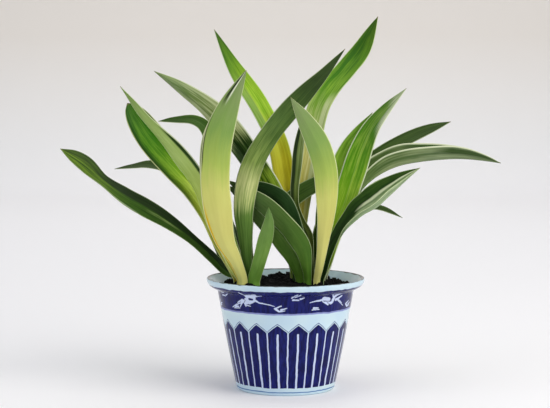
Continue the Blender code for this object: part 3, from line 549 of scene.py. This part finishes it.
def outlineWidth(outline, along):
    # smooth curve through the outline's points
    last = len(outline) - 1
    step = 0
    while step < last - 1 and along > outline[step + 1][0]:
        step += 1
    (place0, width0), (place1, width1) = outline[step], outline[step + 1]
    slopes = []
    for point in (step, step + 1):
        before, after = outline[max(point - 1, 0)], outline[min(point + 1, last)]
        slopes.append((after[1] - before[1]) / (after[0] - before[0]))
    run = place1 - place0
    t = min((along - place0) / run, 1.0)
    return max(0.0, (2 * t ** 3 - 3 * t ** 2 + 1) * width0 + (t ** 3 - 2 * t ** 2 + t) * run * slopes[0]
               + (3 * t ** 2 - 2 * t ** 3) * width1 + (t ** 3 - t ** 2) * run * slopes[1])


def halfWidth(data, along):
    if isinstance(data["width"], list):
        return outlineWidth(data["width"], along)
    foot = leafMaking["footShare"]
    width = data["width"] / 2 * (foot + (1 - foot) * smooth(along / leafMaking["footEnd"]))
    if along > data["widest"]:
        width *= 1 - ((along - data["widest"]) / (1 - data["widest"])) ** leafMaking["taper"]
    return width


def leafPoint(data, points, row, across):
    count = len(points) - 1
    along = row / count
    tangent = (points[min(row + 1, count)] - points[max(row - 1, 0)]).normalized()
    if row == 0:
        tangent = Vector((0, 0, 1))
    turned = smooth((along - leafMaking["turnStart"]) / leafMaking["turnLength"])
    facing = Vector(data["low"]).lerp(Vector(data["high"]), turned)
    normal = (facing - tangent * facing.dot(tangent)).normalized()
    sideways = tangent.cross(normal)
    foldLow, foldHigh = data["fold"]
    fold = math.radians(foldLow + (foldHigh - foldLow) * smooth(along / leafMaking["footEnd"]))
    width = halfWidth(data, along)
    reach = abs(across)
    height, number, start = data["wave"]
    if across < 0:
        height, start = height * leafMaking["otherHeight"], start + leafMaking["otherStart"]
    ripple = height * math.sin(math.tau * number * along + start) * reach ** 2
    ripple *= smooth(along / leafMaking["rippleFoot"]) * smooth((1 - along) / leafMaking["rippleTip"])
    lift = width * math.sin(fold) * reach ** leafMaking["foldCurve"] + ripple
    return points[row] + sideways * (width * math.cos(fold) * across) + normal * lift


def makeLeaf(name, data, seed):
    points = midribPoints(data["path"], leafMaking["along"])
    bm = bmesh.new()
    bm.loops.layers.uv.new("leafMap")
    seedLayer = bm.verts.layers.float.new("leafSeed")
    group = bm.verts.layers.deform.verify()
    bmesh.ops.create_grid(bm, x_segments=leafMaking["across"], y_segments=leafMaking["along"],
                          size=1.0, calc_uvs=True)
    edgeShare = leafMaking["edgeShare"]
    for vert in bm.verts:
        across = vert.co.x
        row = round((vert.co.y + 1) / 2 * leafMaking["along"])
        vert[seedLayer] = seed
        thin = smooth((1 - row / leafMaking["along"]) / leafMaking["thinTip"])
        middle = (1 - abs(across)) ** leafMaking["edgeThinning"]
        vert[group][0] = edgeShare + (1 - edgeShare) * middle * thin
        vert.co = leafPoint(data, points, row, across) * mm
    bmesh.ops.remove_doubles(bm, verts=bm.verts, dist=0.00001)
    piece = finishPiece(name + "_blade", bm, [materials[data["upper"]], materials[data["under"]]],
                        leafSlots[name], name)
    piece.vertex_groups.new(name="thickness")
    skin = piece.modifiers.new("thickness", "SOLIDIFY")
    skin.thickness = leafMaking["middleThickness"] * mm
    skin.offset = 0.0
    skin.vertex_group = "thickness"
    skin.material_offset = 1
    skin.material_offset_rim = 0


leafSlots = {part["node"]: part["material_slot"] for part in frame["record"]["subparts"]}
dice = random.Random(leafMaking["seed"])
for leafName, leafData in leaves.items():
    makeLeaf(leafName, leafData, dice.uniform(0, leafMaking["seedSpread"]))
print("leaves:", len(leaves))


# Pot: a thin porcelain wall on a foot ring, with a rolled lip. Points are (radius, height) in mm.
pot = dict(
    steps=160,
    footRing=[(0, 3.2), (20, 3.2), (40, 3.2), (44, 3.1), (45.2, 2.4), (45.9, 1.0), (46.5, 0.1),
              (47, 0), (51, 0), (51.5, 0.15), (52.7, 1.2), (53.2, 2.4)],
    wallFoot=(53.4, 3.6), wallNeck=(73.4, 107.5), wallSteps=22, wallBulge=0.6, wallThickness=4.4,
    lipOutside=[(74.3, 107.9), (75.6, 108.4), (77.2, 109.0), (79.0, 109.9), (80.4, 110.8),
                (81.8, 111.8), (82.8, 112.9), (83.8, 114.3), (84.5, 115.6), (84.9, 117.0),
                (85.0, 118.2), (84.9, 119.0), (84.5, 119.6), (83.9, 119.9), (83.2, 120.0)],
    lipInside=[(82.2, 119.6), (80.6, 118.4), (78.6, 117.0), (76.6, 115.6), (74.4, 114.0),
               (72.4, 112.4), (70.8, 110.6), (69.6, 108.6), (68.7, 105.0)],
    insideHeights=(88, 74, 60, 46, 34, 24, 16),
    floor=[(51.8, 12.6), (50, 10.8), (47.4, 9.8), (43.4, 9.0), (20, 9.0), (0, 9.0)])


def wallRadius(height):
    (footRadius, footHeight), (neckRadius, neckHeight) = pot["wallFoot"], pot["wallNeck"]
    share = (height - footHeight) / (neckHeight - footHeight)
    return footRadius + (neckRadius - footRadius) * share + pot["wallBulge"] * math.sin(math.pi * share)


def makePot(material):
    low, high = pot["wallFoot"][1], pot["wallNeck"][1]
    heights = [low + (high - low) * step / pot["wallSteps"] for step in range(pot["wallSteps"] + 1)]
    outside = [(wallRadius(height), height) for height in heights]
    inside = [(wallRadius(height) - pot["wallThickness"], height) for height in pot["insideHeights"]]
    section = pot["footRing"] + outside + pot["lipOutside"] + pot["lipInside"] + inside + pot["floor"]
    bm = bmesh.new()
    verts = [bm.verts.new((radius * mm, 0, height * mm)) for radius, height in section]
    edges = [bm.edges.new(pair) for pair in zip(verts, verts[1:])]
    bmesh.ops.spin(bm, geom=verts + edges, cent=(0, 0, 0), axis=(0, 0, 1), dvec=(0, 0, 0),
                   angle=math.tau, steps=pot["steps"], use_merge=True, use_duplicate=False)
    bmesh.ops.remove_doubles(bm, verts=bm.verts, dist=0.000005)
    bmesh.ops.recalc_face_normals(bm, faces=bm.faces)
    piece = finishPiece("painted_pot", bm, [material], "porcelain", "pot")
    finer = piece.modifiers.new("finer", "SUBSURF")
    finer.levels = finer.render_levels = 1


# Brush strokes of white left in the blue band, (x, z) to (x, z) in mm round the pot and up it,
# and the stroke's half width at each end. Cranes fly to either side, with small clouds between.
# The lines are drawn on the cranes in the band's blue.
craneRight = [
    ((-45.3, 101.6), (-36.0, 105.8), 3.4, 2.8), ((-41.5, 101.0), (-34.2, 102.8), 2.4, 1.2),
    ((-43.5, 106.0), (-48.6, 111.0), 1.7, 0.4), ((-42.0, 107.2), (-31.0, 109.8), 1.5, 0.6),
    ((-36.0, 107.4), (-25.0, 108.4), 1.0, 0.25), ((-50.4, 101.6), (-56.0, 99.2), 2.2, 1.4),
    ((-54.0, 99.6), (-67.0, 93.6), 1.1, 0.3), ((-51.2, 99.6), (-54.6, 94.6), 0.9, 0.3),
    ((-48.2, 100.6), (-46.0, 96.2), 0.9, 0.4), ((-47.0, 97.6), (-40.5, 96.6), 0.5, 0.3),
    ((-34.6, 103.6), (-29.5, 100.9), 1.1, 0.6), ((-29.5, 100.9), (-18.3, 99.1), 0.6, 0.4),
    ((-18.3, 99.1), (-12.0, 97.6), 0.45, 0.15)]
craneLeft = [
    ((26.1, 100.9), (32.9, 102.6), 0.3, 0.6), ((32.9, 102.6), (42.0, 103.6), 0.6, 1.0),
    ((42.5, 104.2), (49.4, 103.1), 2.1, 1.7), ((45.7, 101.2), (53.0, 98.8), 1.4, 1.1),
    ((41.6, 102.1), (48.8, 97.8), 0.6, 0.7), ((54.2, 100.4), (57.4, 105.4), 2.0, 1.6),
    ((56.3, 105.2), (61.1, 107.6), 1.5, 1.2), ((61.1, 107.6), (76.6, 109.6), 1.0, 0.25),
    ((59.6, 102.2), (69.8, 105.4), 1.4, 0.6), ((53.6, 108.6), (56.2, 104.0), 0.5, 0.9),
    ((62.5, 101.4), (74.0, 94.4), 0.45, 0.2), ((64.0, 102.0), (71.0, 97.4), 0.45, 0.2)]
craneRightLines = [
    ((-40.6, 104.4), (-37.4, 103.9), 1.5, 1.2), ((-47.2, 103.6), (-49.8, 107.6), 0.45, 0.2),
    ((-52.2, 100.8), (-60.5, 97.2), 0.4, 0.2), ((-46.3, 102.6), (-49.2, 98.8), 0.5, 0.3)]
craneLeftLines = [
    ((42.6, 102.3), (51.0, 101.0), 0.5, 0.4), ((47.2, 100.2), (52.0, 98.4), 0.35, 0.2),
    ((58.4, 103.8), (62.0, 105.0), 0.6, 0.35), ((62.5, 108.2), (71.0, 109.2), 0.25, 0.1),
    ((51.6, 103.4), (54.0, 100.6), 0.4, 0.3)]
clouds = [
    ((6.3, 106.8), (8.9, 109.4), 0.7, 0.6), ((8.7, 109.8), (11.2, 110.6), 0.6, 0.5),
    ((11.4, 107.9), (14.0, 110.2), 0.6, 0.7), ((7.4, 104.6), (13.7, 104.3), 0.8, 0.6),
    ((15.4, 105.4), (19.4, 106.6), 0.8, 0.3), ((9.6, 107.2), (10.8, 108.8), 0.5, 0.4),
    ((-11.9, 95.2), (-5.4, 98.0), 0.8, 0.5), ((-10.8, 94.6), (-7.6, 92.4), 1.0, 0.8),
    ((-5.4, 94.0), (1.1, 96.0), 0.9, 0.3), ((-7.6, 92.2), (-1.1, 93.3), 0.6, 0.3),
    ((30.8, 95.0), (36.1, 95.2), 0.9, 0.6), ((29.2, 93.2), (37.5, 93.4), 0.5, 0.4)]


# Painting: cobalt blue under a clear, faintly blue glaze. Glossy and smooth, with brushed blue
# that varies in depth, and lines that waver as a hand does. Places are heights, radii and
# distances in mm.
paint = dict(
    waver=1.6, waversPerMetre=110.0,
    wholeTurns=40.5,                           # keeps a folded turn above zero
    panels=19, firstTip=11.2,                  # pointed panels, and degrees from the front to a tip
    tipHeight=78.6, valleyHeight=69.7, roofCurve=1.12,
    panelTop=67.5, stripeTop=66.7, outlineMiddle=0.2, footLine=3.9, rimLineRadius=84.4,
    wallMiddle=50.3, lipStart=111.4, lipReach=8.0, outsideTop=116.0,
    birds=5, unrolled=74.0, farAway=99.0,      # birds round the pot, and the radius it unrolls at
    ragged=0.7, raggedPerMetre=700.0, soft=0.5,
    # where each edge begins to fade in, and where it is full
    edges=dict(fillTop=(1.6, 1.95), fillSide=(0.55, 0.9), fillFoot=(8.3, 8.7), stripe=(0.9, 1.25),
               outline=(0.55, 0.3), line=(87.95, 88.45), band=(89.6, 90.2), bandTop=(83.6, 83.0),
               footLine=(0.85, 0.4), rim=(118.9, 119.5)),
    grain=(420, 420, 45), grainContrast=(0.36, 0.66), glazePerMetre=28.0,
    ripplesPerMetre=45.0, ripple=0.2, rippleDepth=0.6, roughness=0.1, specular=0.16,
    glaze=((0.35, "#c4dded"), (0.65, "#cfe6ee")), reserve="#cddaf6", outline="#3c4686",
    ink="#0a0e48", inkPale="#171e6c", line="#8790c8", foot="#5f86b8", rimLine="#596066")


def strokeGroup():
    # how far a place is from the edge of one tapering brush stroke
    group = bpy.data.node_groups.new("brushStroke", "ShaderNodeTree")
    for name, kind in (("place", "NodeSocketVector"), ("start", "NodeSocketVector"),
                       ("run", "NodeSocketVector"), ("perLength", "NodeSocketFloat"),
                       ("widthStart", "NodeSocketFloat"), ("widthChange", "NodeSocketFloat")):
        group.interface.new_socket(name, in_out="INPUT", socket_type=kind)
    group.interface.new_socket("distance", in_out="OUTPUT", socket_type="NodeSocketFloat")
    given = group.nodes.new("NodeGroupInput")
    result = group.nodes.new("NodeGroupOutput")
    place, start, run, perLength, widthStart, widthChange = given.outputs[:6]
    away = add(group, "VectorMath", [place, start], operation="SUBTRACT")
    share = add(group, "VectorMath", [away, run], output=1, operation="DOT_PRODUCT")
    share = add(group, "Math", [share, perLength], operation="MULTIPLY", use_clamp=True)
    onLine = add(group, "VectorMath", {0: run, "Scale": share}, operation="SCALE")
    gap = add(group, "VectorMath", [away, onLine], output=1, operation="DISTANCE")
    width = add(group, "Math", [share, widthChange, widthStart], operation="MULTIPLY_ADD")
    group.links.new(add(group, "Math", [gap, width], operation="SUBTRACT"), result.inputs[0])
    return group


def panelDistances(tree, turn, radius, height):
    # mm below a panel's outline, from its side and from its middle stripe
    pitch = math.tau / paint["panels"]
    start = paint["wholeTurns"] - math.radians(paint["firstTip"]) / pitch
    cell = add(tree, "Math", [turn, 1 / pitch, start], operation="MULTIPLY_ADD")
    cell = add(tree, "Math", [cell], operation="FRACT")
    cell = add(tree, "Math", [cell, 0.5], operation="SUBTRACT")
    share = add(tree, "Math", [cell], operation="ABSOLUTE")
    width = add(tree, "Math", [radius, pitch], operation="MULTIPLY")
    fromTip = add(tree, "Math", [share, width], operation="MULTIPLY")
    fromSide = add(tree, "Math", [share, -1.0, 0.5], operation="MULTIPLY_ADD")
    fromSide = add(tree, "Math", [fromSide, width], operation="MULTIPLY")
    slope = add(tree, "Math", [share, 2.0], operation="MULTIPLY")
    slope = add(tree, "Math", [slope, paint["roofCurve"]], operation="POWER")
    roof = add(tree, "Math", [slope, paint["valleyHeight"] - paint["tipHeight"], paint["tipHeight"]],
               operation="MULTIPLY_ADD")
    below = add(tree, "Math", [roof, height], operation="SUBTRACT")
    over = add(tree, "Math", [height, paint["stripeTop"]], operation="SUBTRACT")
    over = add(tree, "Math", [over, 0.0], operation="MAXIMUM")
    stripe = add(tree, "VectorMath", [add(tree, "CombineXYZ", [fromTip, over, 0.0])],
                 output=1, operation="LENGTH")
    return below, fromSide, stripe


def paintedSide(tree, radius, height):
    # 1 on the pot's outside, which lies beyond the middle of the leaning wall, and on the lip's
    (footRadius, footHeight), (neckRadius, neckHeight) = pot["wallFoot"], pot["wallNeck"]
    lean = (neckRadius - footRadius) / (neckHeight - footHeight)
    limit = add(tree, "Math", [height, lean, paint["wallMiddle"]], operation="MULTIPLY_ADD")
    onLip = add(tree, "Math", [height, paint["lipStart"]], operation="GREATER_THAN")
    limit = add(tree, "Math", [onLip, paint["lipReach"], limit], operation="MULTIPLY_ADD")
    beyond = add(tree, "Math", [radius, limit], operation="GREATER_THAN")
    underTop = add(tree, "Math", [height, paint["outsideTop"]], operation="LESS_THAN")
    return add(tree, "Math", [beyond, underTop], operation="MULTIPLY")


def birdMask(tree, here, turn, height):
    # the turn is folded into repeats, and each crane takes every second one
    strokes = strokeGroup()
    nearest = {}
    for drawing, lines, every in ((craneRight, craneRightLines, 2), (craneLeft, craneLeftLines, 2),
                                  (clouds, [], 1)):
        ends = [end[0] for start, end, widthStart, widthEnd in drawing]
        middle = (max(ends) + min(ends)) / 2
        repeat = math.tau / paint["birds"] * every
        span = repeat * paint["unrolled"]
        folded = add(tree, "Math", [turn, 1 / repeat, paint["wholeTurns"] - middle / span],
                     operation="MULTIPLY_ADD")
        folded = add(tree, "Math", [folded], operation="FRACT")
        folded = add(tree, "Math", [folded, span, middle - span / 2], operation="MULTIPLY_ADD")
        place = add(tree, "CombineXYZ", [folded, height, 0.0])
        for colour, group in (("white", drawing), ("blue", lines)):
            for start, end, widthStart, widthEnd in group:
                run = Vector((*end, 0)) - Vector((*start, 0))
                distance = add(tree, "Group", {
                    "place": place, "start": (*start, 0), "run": run,
                    "perLength": 1 / run.length_squared, "widthStart": widthStart,
                    "widthChange": widthEnd - widthStart}, node_tree=strokes)
                nearest[colour] = add(tree, "Math", [nearest.get(colour, paint["farAway"]), distance],
                                      operation="MINIMUM")
    blue = add(tree, "Math", [nearest["blue"], -1.0], operation="MULTIPLY")
    white = add(tree, "Math", [nearest["white"], blue], operation="MAXIMUM")
    ragged = add(tree, "TexNoise", {"Vector": here, "Scale": paint["raggedPerMetre"], "Detail": 1.0})
    white = add(tree, "Math", [ragged, -paint["ragged"], white], operation="MULTIPLY_ADD")
    return add(tree, "MapRange", {0: white, 1: 0.0, 2: -paint["soft"]},
               interpolation_type="SMOOTHSTEP")


def paintedPorcelain():
    material, tree, shader = newMaterial("paintedPorcelain")
    here = add(tree, "TexCoord", output=3)
    wobble = add(tree, "TexNoise", {"Vector": here, "Scale": paint["waversPerMetre"], "Detail": 1.0}, 1)
    wobble = add(tree, "VectorMath", [wobble, (0.5, 0.5, 0.5)], operation="SUBTRACT")
    here = add(tree, "VectorMath", {0: wobble, 1: (paint["waver"] * mm,) * 3, 2: here},
               operation="MULTIPLY_ADD")
    x, y, z = [add(tree, "SeparateXYZ", [here], axis) for axis in range(3)]
    height = add(tree, "Math", [z, 1 / mm], operation="MULTIPLY")
    radius = add(tree, "VectorMath", [add(tree, "CombineXYZ", [x, y, 0.0])], output=1,
                 operation="LENGTH")
    radius = add(tree, "Math", [radius, 1 / mm], operation="MULTIPLY")
    forward = add(tree, "Math", [y, -1.0], operation="MULTIPLY")
    turn = add(tree, "Math", [x, forward], operation="ARCTAN2")

    # edges, from distances in mm
    below, fromSide, stripe = panelDistances(tree, turn, radius, height)
    away = {}
    for key, value, middle in (("outline", below, paint["outlineMiddle"]),
                               ("footLine", height, paint["footLine"])):
        away[key] = add(tree, "Math", [value, middle], operation="SUBTRACT")
        away[key] = add(tree, "Math", [away[key]], operation="ABSOLUTE")
    masks = {}
    for key, value in (("fillTop", below), ("fillSide", fromSide), ("fillFoot", height),
                       ("stripe", stripe), ("outline", away["outline"]), ("line", height),
                       ("band", height), ("bandTop", radius), ("footLine", away["footLine"]),
                       ("rim", height)):
        begin, full = paint["edges"][key]
        masks[key] = add(tree, "MapRange", {0: value, 1: begin, 2: full},
                         interpolation_type="SMOOTHSTEP")
    outside = paintedSide(tree, radius, height)
    onPanels = add(tree, "Math", [height, paint["panelTop"]], operation="LESS_THAN")
    onRim = add(tree, "Math", [radius, paint["rimLineRadius"]], operation="LESS_THAN")

    # brushed cobalt: deeper where strokes overlap, running up the panels
    grain = add(tree, "Mapping", {"Vector": add(tree, "TexCoord", output=3), "Scale": paint["grain"]})
    brushed = add(tree, "TexNoise", {"Vector": grain, "Scale": 1.0, "Detail": 3.0})
    pale, full = paint["grainContrast"]
    brushed = add(tree, "MapRange", {0: brushed, 1: pale, 2: full})
    cobalt = add(tree, "Mix", {0: brushed, 6: paint["ink"], 7: paint["inkPale"]}, 2, data_type="RGBA")
    white = birdMask(tree, here, turn, height)
    bandBlue = add(tree, "Mix", {0: white, 6: cobalt, 7: paint["reserve"]}, 2, data_type="RGBA")
    clouding = add(tree, "TexNoise", {"Vector": here, "Scale": paint["glazePerMetre"], "Detail": 2.0})
    colour = add(tree, "ValToRGB", [clouding], stops=paint["glaze"])

    # what is laid over the glaze, one over the other: its colour, and the masks that bound it
    for tone, bounds in (
            (paint["reserve"], [onPanels, masks["fillFoot"], outside]),
            (paint["outline"], [masks["outline"], outside]),
            (cobalt, [masks["fillTop"], masks["fillSide"], masks["fillFoot"], masks["stripe"],
                      outside]),
            (paint["line"], [masks["line"], masks["bandTop"], outside]),
            (bandBlue, [masks["band"], masks["line"], masks["bandTop"], outside]),
            (paint["foot"], [masks["footLine"], outside]),
            (paint["rimLine"], [masks["rim"], onRim])):
        share = bounds[0]
        for mask in bounds[1:]:
            share = add(tree, "Math", [share, mask], operation="MULTIPLY")
        colour = add(tree, "Mix", {0: share, 6: colour, 7: tone}, 2, data_type="RGBA")
    tree.links.new(colour, shader.inputs["Base Color"])

    ripple = add(tree, "TexNoise", {"Vector": here, "Scale": paint["ripplesPerMetre"], "Detail": 1.0})
    bump = add(tree, "Bump", {"Height": ripple, "Strength": paint["ripple"],
                              "Distance": paint["rippleDepth"] * mm})
    tree.links.new(bump, shader.inputs["Normal"])
    shader.inputs["Roughness"].default_value = paint["roughness"]
    shader.inputs["Specular IOR Level"].default_value = paint["specular"]
    return material


makePot(paintedPorcelain())
print("pot done")


# Soil: black peaty potting soil, matt and damp, in crumbs 3 to 11 mm across. Sizes are in mm.
soil = dict(
    level=109.5, roughness=2.0,
    lumps=((0.055, 3.7, 0.8), (0.16, 8.1, 0.9)),      # (lumps per mm, place in the noise, share)
    heap=3.6, heapWidth=24.0, heapMiddle=4.0,
    crumbs=1700, reach=67.6, smallest=1.6, largest=5.4, fewLarge=2.2,   # crumb sizes are radii
    bedding=0.35, width=(0.7, 1.2), flatness=(0.6, 0.95), dents=0.25, dentsPerMetre=900, seed=5)
rhizome = dict(
    top=113.0, showing=0.2, bankSlope=24.0,
    ovals={"rhizome_left": ((-38, -12), (17, 31)), "rhizome_right": ((24, -4), (21, 33))})


def soilMaterial():
    # grains about 1 mm across, and dull, as damp peat is
    material, tree, shader = newMaterial("blackPottingSoil")
    here = add(tree, "TexCoord", output=3)
    grains = add(tree, "TexNoise", {"Vector": here, "Scale": 900.0, "Detail": 4.0, "Roughness": 0.7})
    colour = add(tree, "ValToRGB", [grains],
                 stops=[(0.3, "#040404"), (0.55, "#0c0c0c"), (0.8, "#1d1a19")])
    tree.links.new(colour, shader.inputs["Base Color"])
    bump = add(tree, "Bump", {"Height": grains, "Strength": 1.0, "Distance": 0.0018})
    tree.links.new(bump, shader.inputs["Normal"])
    shader.inputs["Roughness"].default_value = 0.9
    shader.inputs["Specular IOR Level"].default_value = 0.15
    return material


def rhizomeMaterial():
    # dry brown rhizome skin: dull, ringed by leaf scars about 6 mm apart, flecked with fibres
    material, tree, shader = newMaterial("rhizomeSkin")
    here = add(tree, "TexCoord", output=3)
    rings = add(tree, "TexWave", {"Vector": here, "Scale": 52.0, "Distortion": 3.0, "Detail": 2.0},
                bands_direction="Z")
    fibres = add(tree, "TexNoise", {"Vector": here, "Scale": 420.0, "Detail": 3.0})
    tone = add(tree, "Math", [rings, 0.5, fibres], operation="MULTIPLY_ADD")
    colour = add(tree, "ValToRGB", [tone],
                 stops=[(0.4, "#3a2a1a"), (0.75, "#6b5636"), (1.0, "#94805a")])
    tree.links.new(colour, shader.inputs["Base Color"])
    bump = add(tree, "Bump", {"Height": tone, "Strength": 0.6, "Distance": 0.001})
    tree.links.new(bump, shader.inputs["Normal"])
    shader.inputs["Roughness"].default_value = 0.8
    return material


def soilHeight(x, y):
    # rough ground with a heap between the crowns, banked up against each rhizome
    rough = sum(share * noise.noise(Vector((x * perMm, y * perMm, place)))
                for perMm, place, share in soil["lumps"])
    height = soil["level"] + soil["roughness"] * rough
    height += soil["heap"] * math.exp(-((x - soil["heapMiddle"]) / soil["heapWidth"]) ** 2)
    for middle, radii in rhizome["ovals"].values():
        away = math.hypot((x - middle[0]) / radii[0], (y - middle[1]) / radii[1])
        bank = rhizome["bankSlope"] * max(away - 1.0, 0)
        height = max(height, rhizome["top"] - rhizome["showing"] - bank)
    return height


def makeCrumbs(material):
    dice = random.Random(soil["seed"])
    noise.seed_set(soil["seed"])  # the dents' noise would otherwise start from the clock
    bm = bmesh.new()
    for _ in range(soil["crumbs"]):
        turn = dice.uniform(0, math.tau)
        reach = soil["reach"] * math.sqrt(dice.random())
        share = dice.random() ** soil["fewLarge"]
        size = soil["smallest"] + (soil["largest"] - soil["smallest"]) * share
        x, y = reach * math.cos(turn), reach * math.sin(turn)
        place = Matrix.Translation(Vector((x, y, soilHeight(x, y) + size * soil["bedding"])) * mm)
        spin = Matrix.Rotation(dice.uniform(0, math.tau), 4, Vector((dice.random(), dice.random(), 1)))
        width, flatness = dice.uniform(*soil["width"]), dice.uniform(*soil["flatness"])
        squash = Matrix.Diagonal((1.0, width, flatness, 1.0))
        lump = bmesh.ops.create_icosphere(bm, subdivisions=1, radius=size * mm,
                                          matrix=place @ spin @ squash)
        for vert in lump["verts"]:
            vert.co += noise.noise_vector(vert.co * soil["dentsPerMetre"]) * size * soil["dents"] * mm
    finishPiece("soil_crumbs", bm, [material], "soil")


blackSoil = soilMaterial()
brownSkin = rhizomeMaterial()
for name, finish in (("soil", blackSoil), ("rhizome_left", brownSkin), ("rhizome_right", brownSkin)):
    for slot in frame["nodes"][name].material_slots:
        slot.material = finish
makeCrumbs(blackSoil)
print("soil done")


# Studio: a pale floor curving up into a board that stands beyond every camera. Sizes are in metres,
# and the board's colours are (height, colour), darker and warmer towards the top as painted shade.
studio = dict(
    width=6.0, front=-3.0, back=3.4, height=3.0, curve=0.6, curveSteps=12,
    paintedShadeByHeight=((0.0, "#f9f9fc"), (0.12, "#f1f1f2"), (0.45, "#e5e0da")), roughness=0.85,
    air="#f1f2f4", airStrength=0.46,
    lamps=dict(
        key=dict(place=(1.7, -1.3, 1.6), aim=(0, 0, 0.15), size=2.2, power=44, colour="#fffbf6"),
        fill=dict(place=(-1.9, -1.1, 1.3), aim=(0, 0, 0.2), size=1.8, power=10, colour="#fbfbff"),
        board=dict(place=(0, 2.2, 2.4), aim=(0, 3.4, 0.6), size=2.0, power=18, colour="#ffffff"),
        top=dict(place=(0.1, 0.2, 2.4), aim=(0, 0.1, 0.2), size=1.8, power=12, colour="#ffffff")))


def boardMaterial():
    # matt painted board: pale, no shine, darker towards the top as painted shade
    material, tree, shader = newMaterial("paintedBoard")
    height = add(tree, "SeparateXYZ", [add(tree, "TexCoord", output=3)], 2)
    colour = add(tree, "ValToRGB", [height], stops=studio["paintedShadeByHeight"])
    tree.links.new(colour, shader.inputs["Base Color"])
    shader.inputs["Roughness"].default_value = studio["roughness"]
    return material


def makeFloor():
    bm = bmesh.new()
    curve, bend = studio["curve"], studio["back"] - studio["curve"]
    profile = [bm.verts.new((0, studio["front"], 0)), bm.verts.new((0, bend, 0))]
    for step in range(1, studio["curveSteps"] + 1):
        angle = math.pi / 2 * step / studio["curveSteps"]
        profile.append(bm.verts.new((0, bend + curve * math.sin(angle), curve * (1 - math.cos(angle)))))
    profile.append(bm.verts.new((0, studio["back"], studio["height"])))
    edges = [bm.edges.new(pair) for pair in zip(profile, profile[1:])]
    bmesh.ops.translate(bm, verts=bm.verts, vec=(-studio["width"] / 2, 0, 0))
    swept = bmesh.ops.extrude_edge_only(bm, edges=edges)
    bmesh.ops.translate(bm, verts=[v for v in swept["geom"] if isinstance(v, bmesh.types.BMVert)],
                        vec=(studio["width"], 0, 0))
    bmesh.ops.recalc_face_normals(bm, faces=bm.faces)
    mesh = bpy.data.meshes.new("studioSweep")
    bm.to_mesh(mesh)
    bm.free()
    mesh.shade_smooth()
    mesh.materials.append(boardMaterial())
    floor = bpy.data.objects.new("studioSweep", mesh)
    bpy.context.scene.collection.objects.link(floor)


makeFloor()
for lampName, lamp in studio["lamps"].items():
    light = bpy.data.lights.new(lampName, "AREA")
    light.size = lamp["size"]
    light.energy = lamp["power"]
    light.color = linear(lamp["colour"])[:3]
    holder = bpy.data.objects.new(lampName, light)
    holder.location = lamp["place"]
    facing = Vector(lamp["aim"]) - Vector(lamp["place"])
    holder.rotation_euler = facing.to_track_quat("-Z", "Y").to_euler()
    bpy.context.scene.collection.objects.link(holder)

world = bpy.data.worlds.new("studioAir")
world.use_nodes = True
air = world.node_tree.nodes["Background"]
air.inputs["Color"].default_value = linear(studio["air"])
air.inputs["Strength"].default_value = studio["airStrength"]
bpy.context.scene.world = world
bpy.context.scene.view_settings.view_transform = "Standard"
print("studio done")
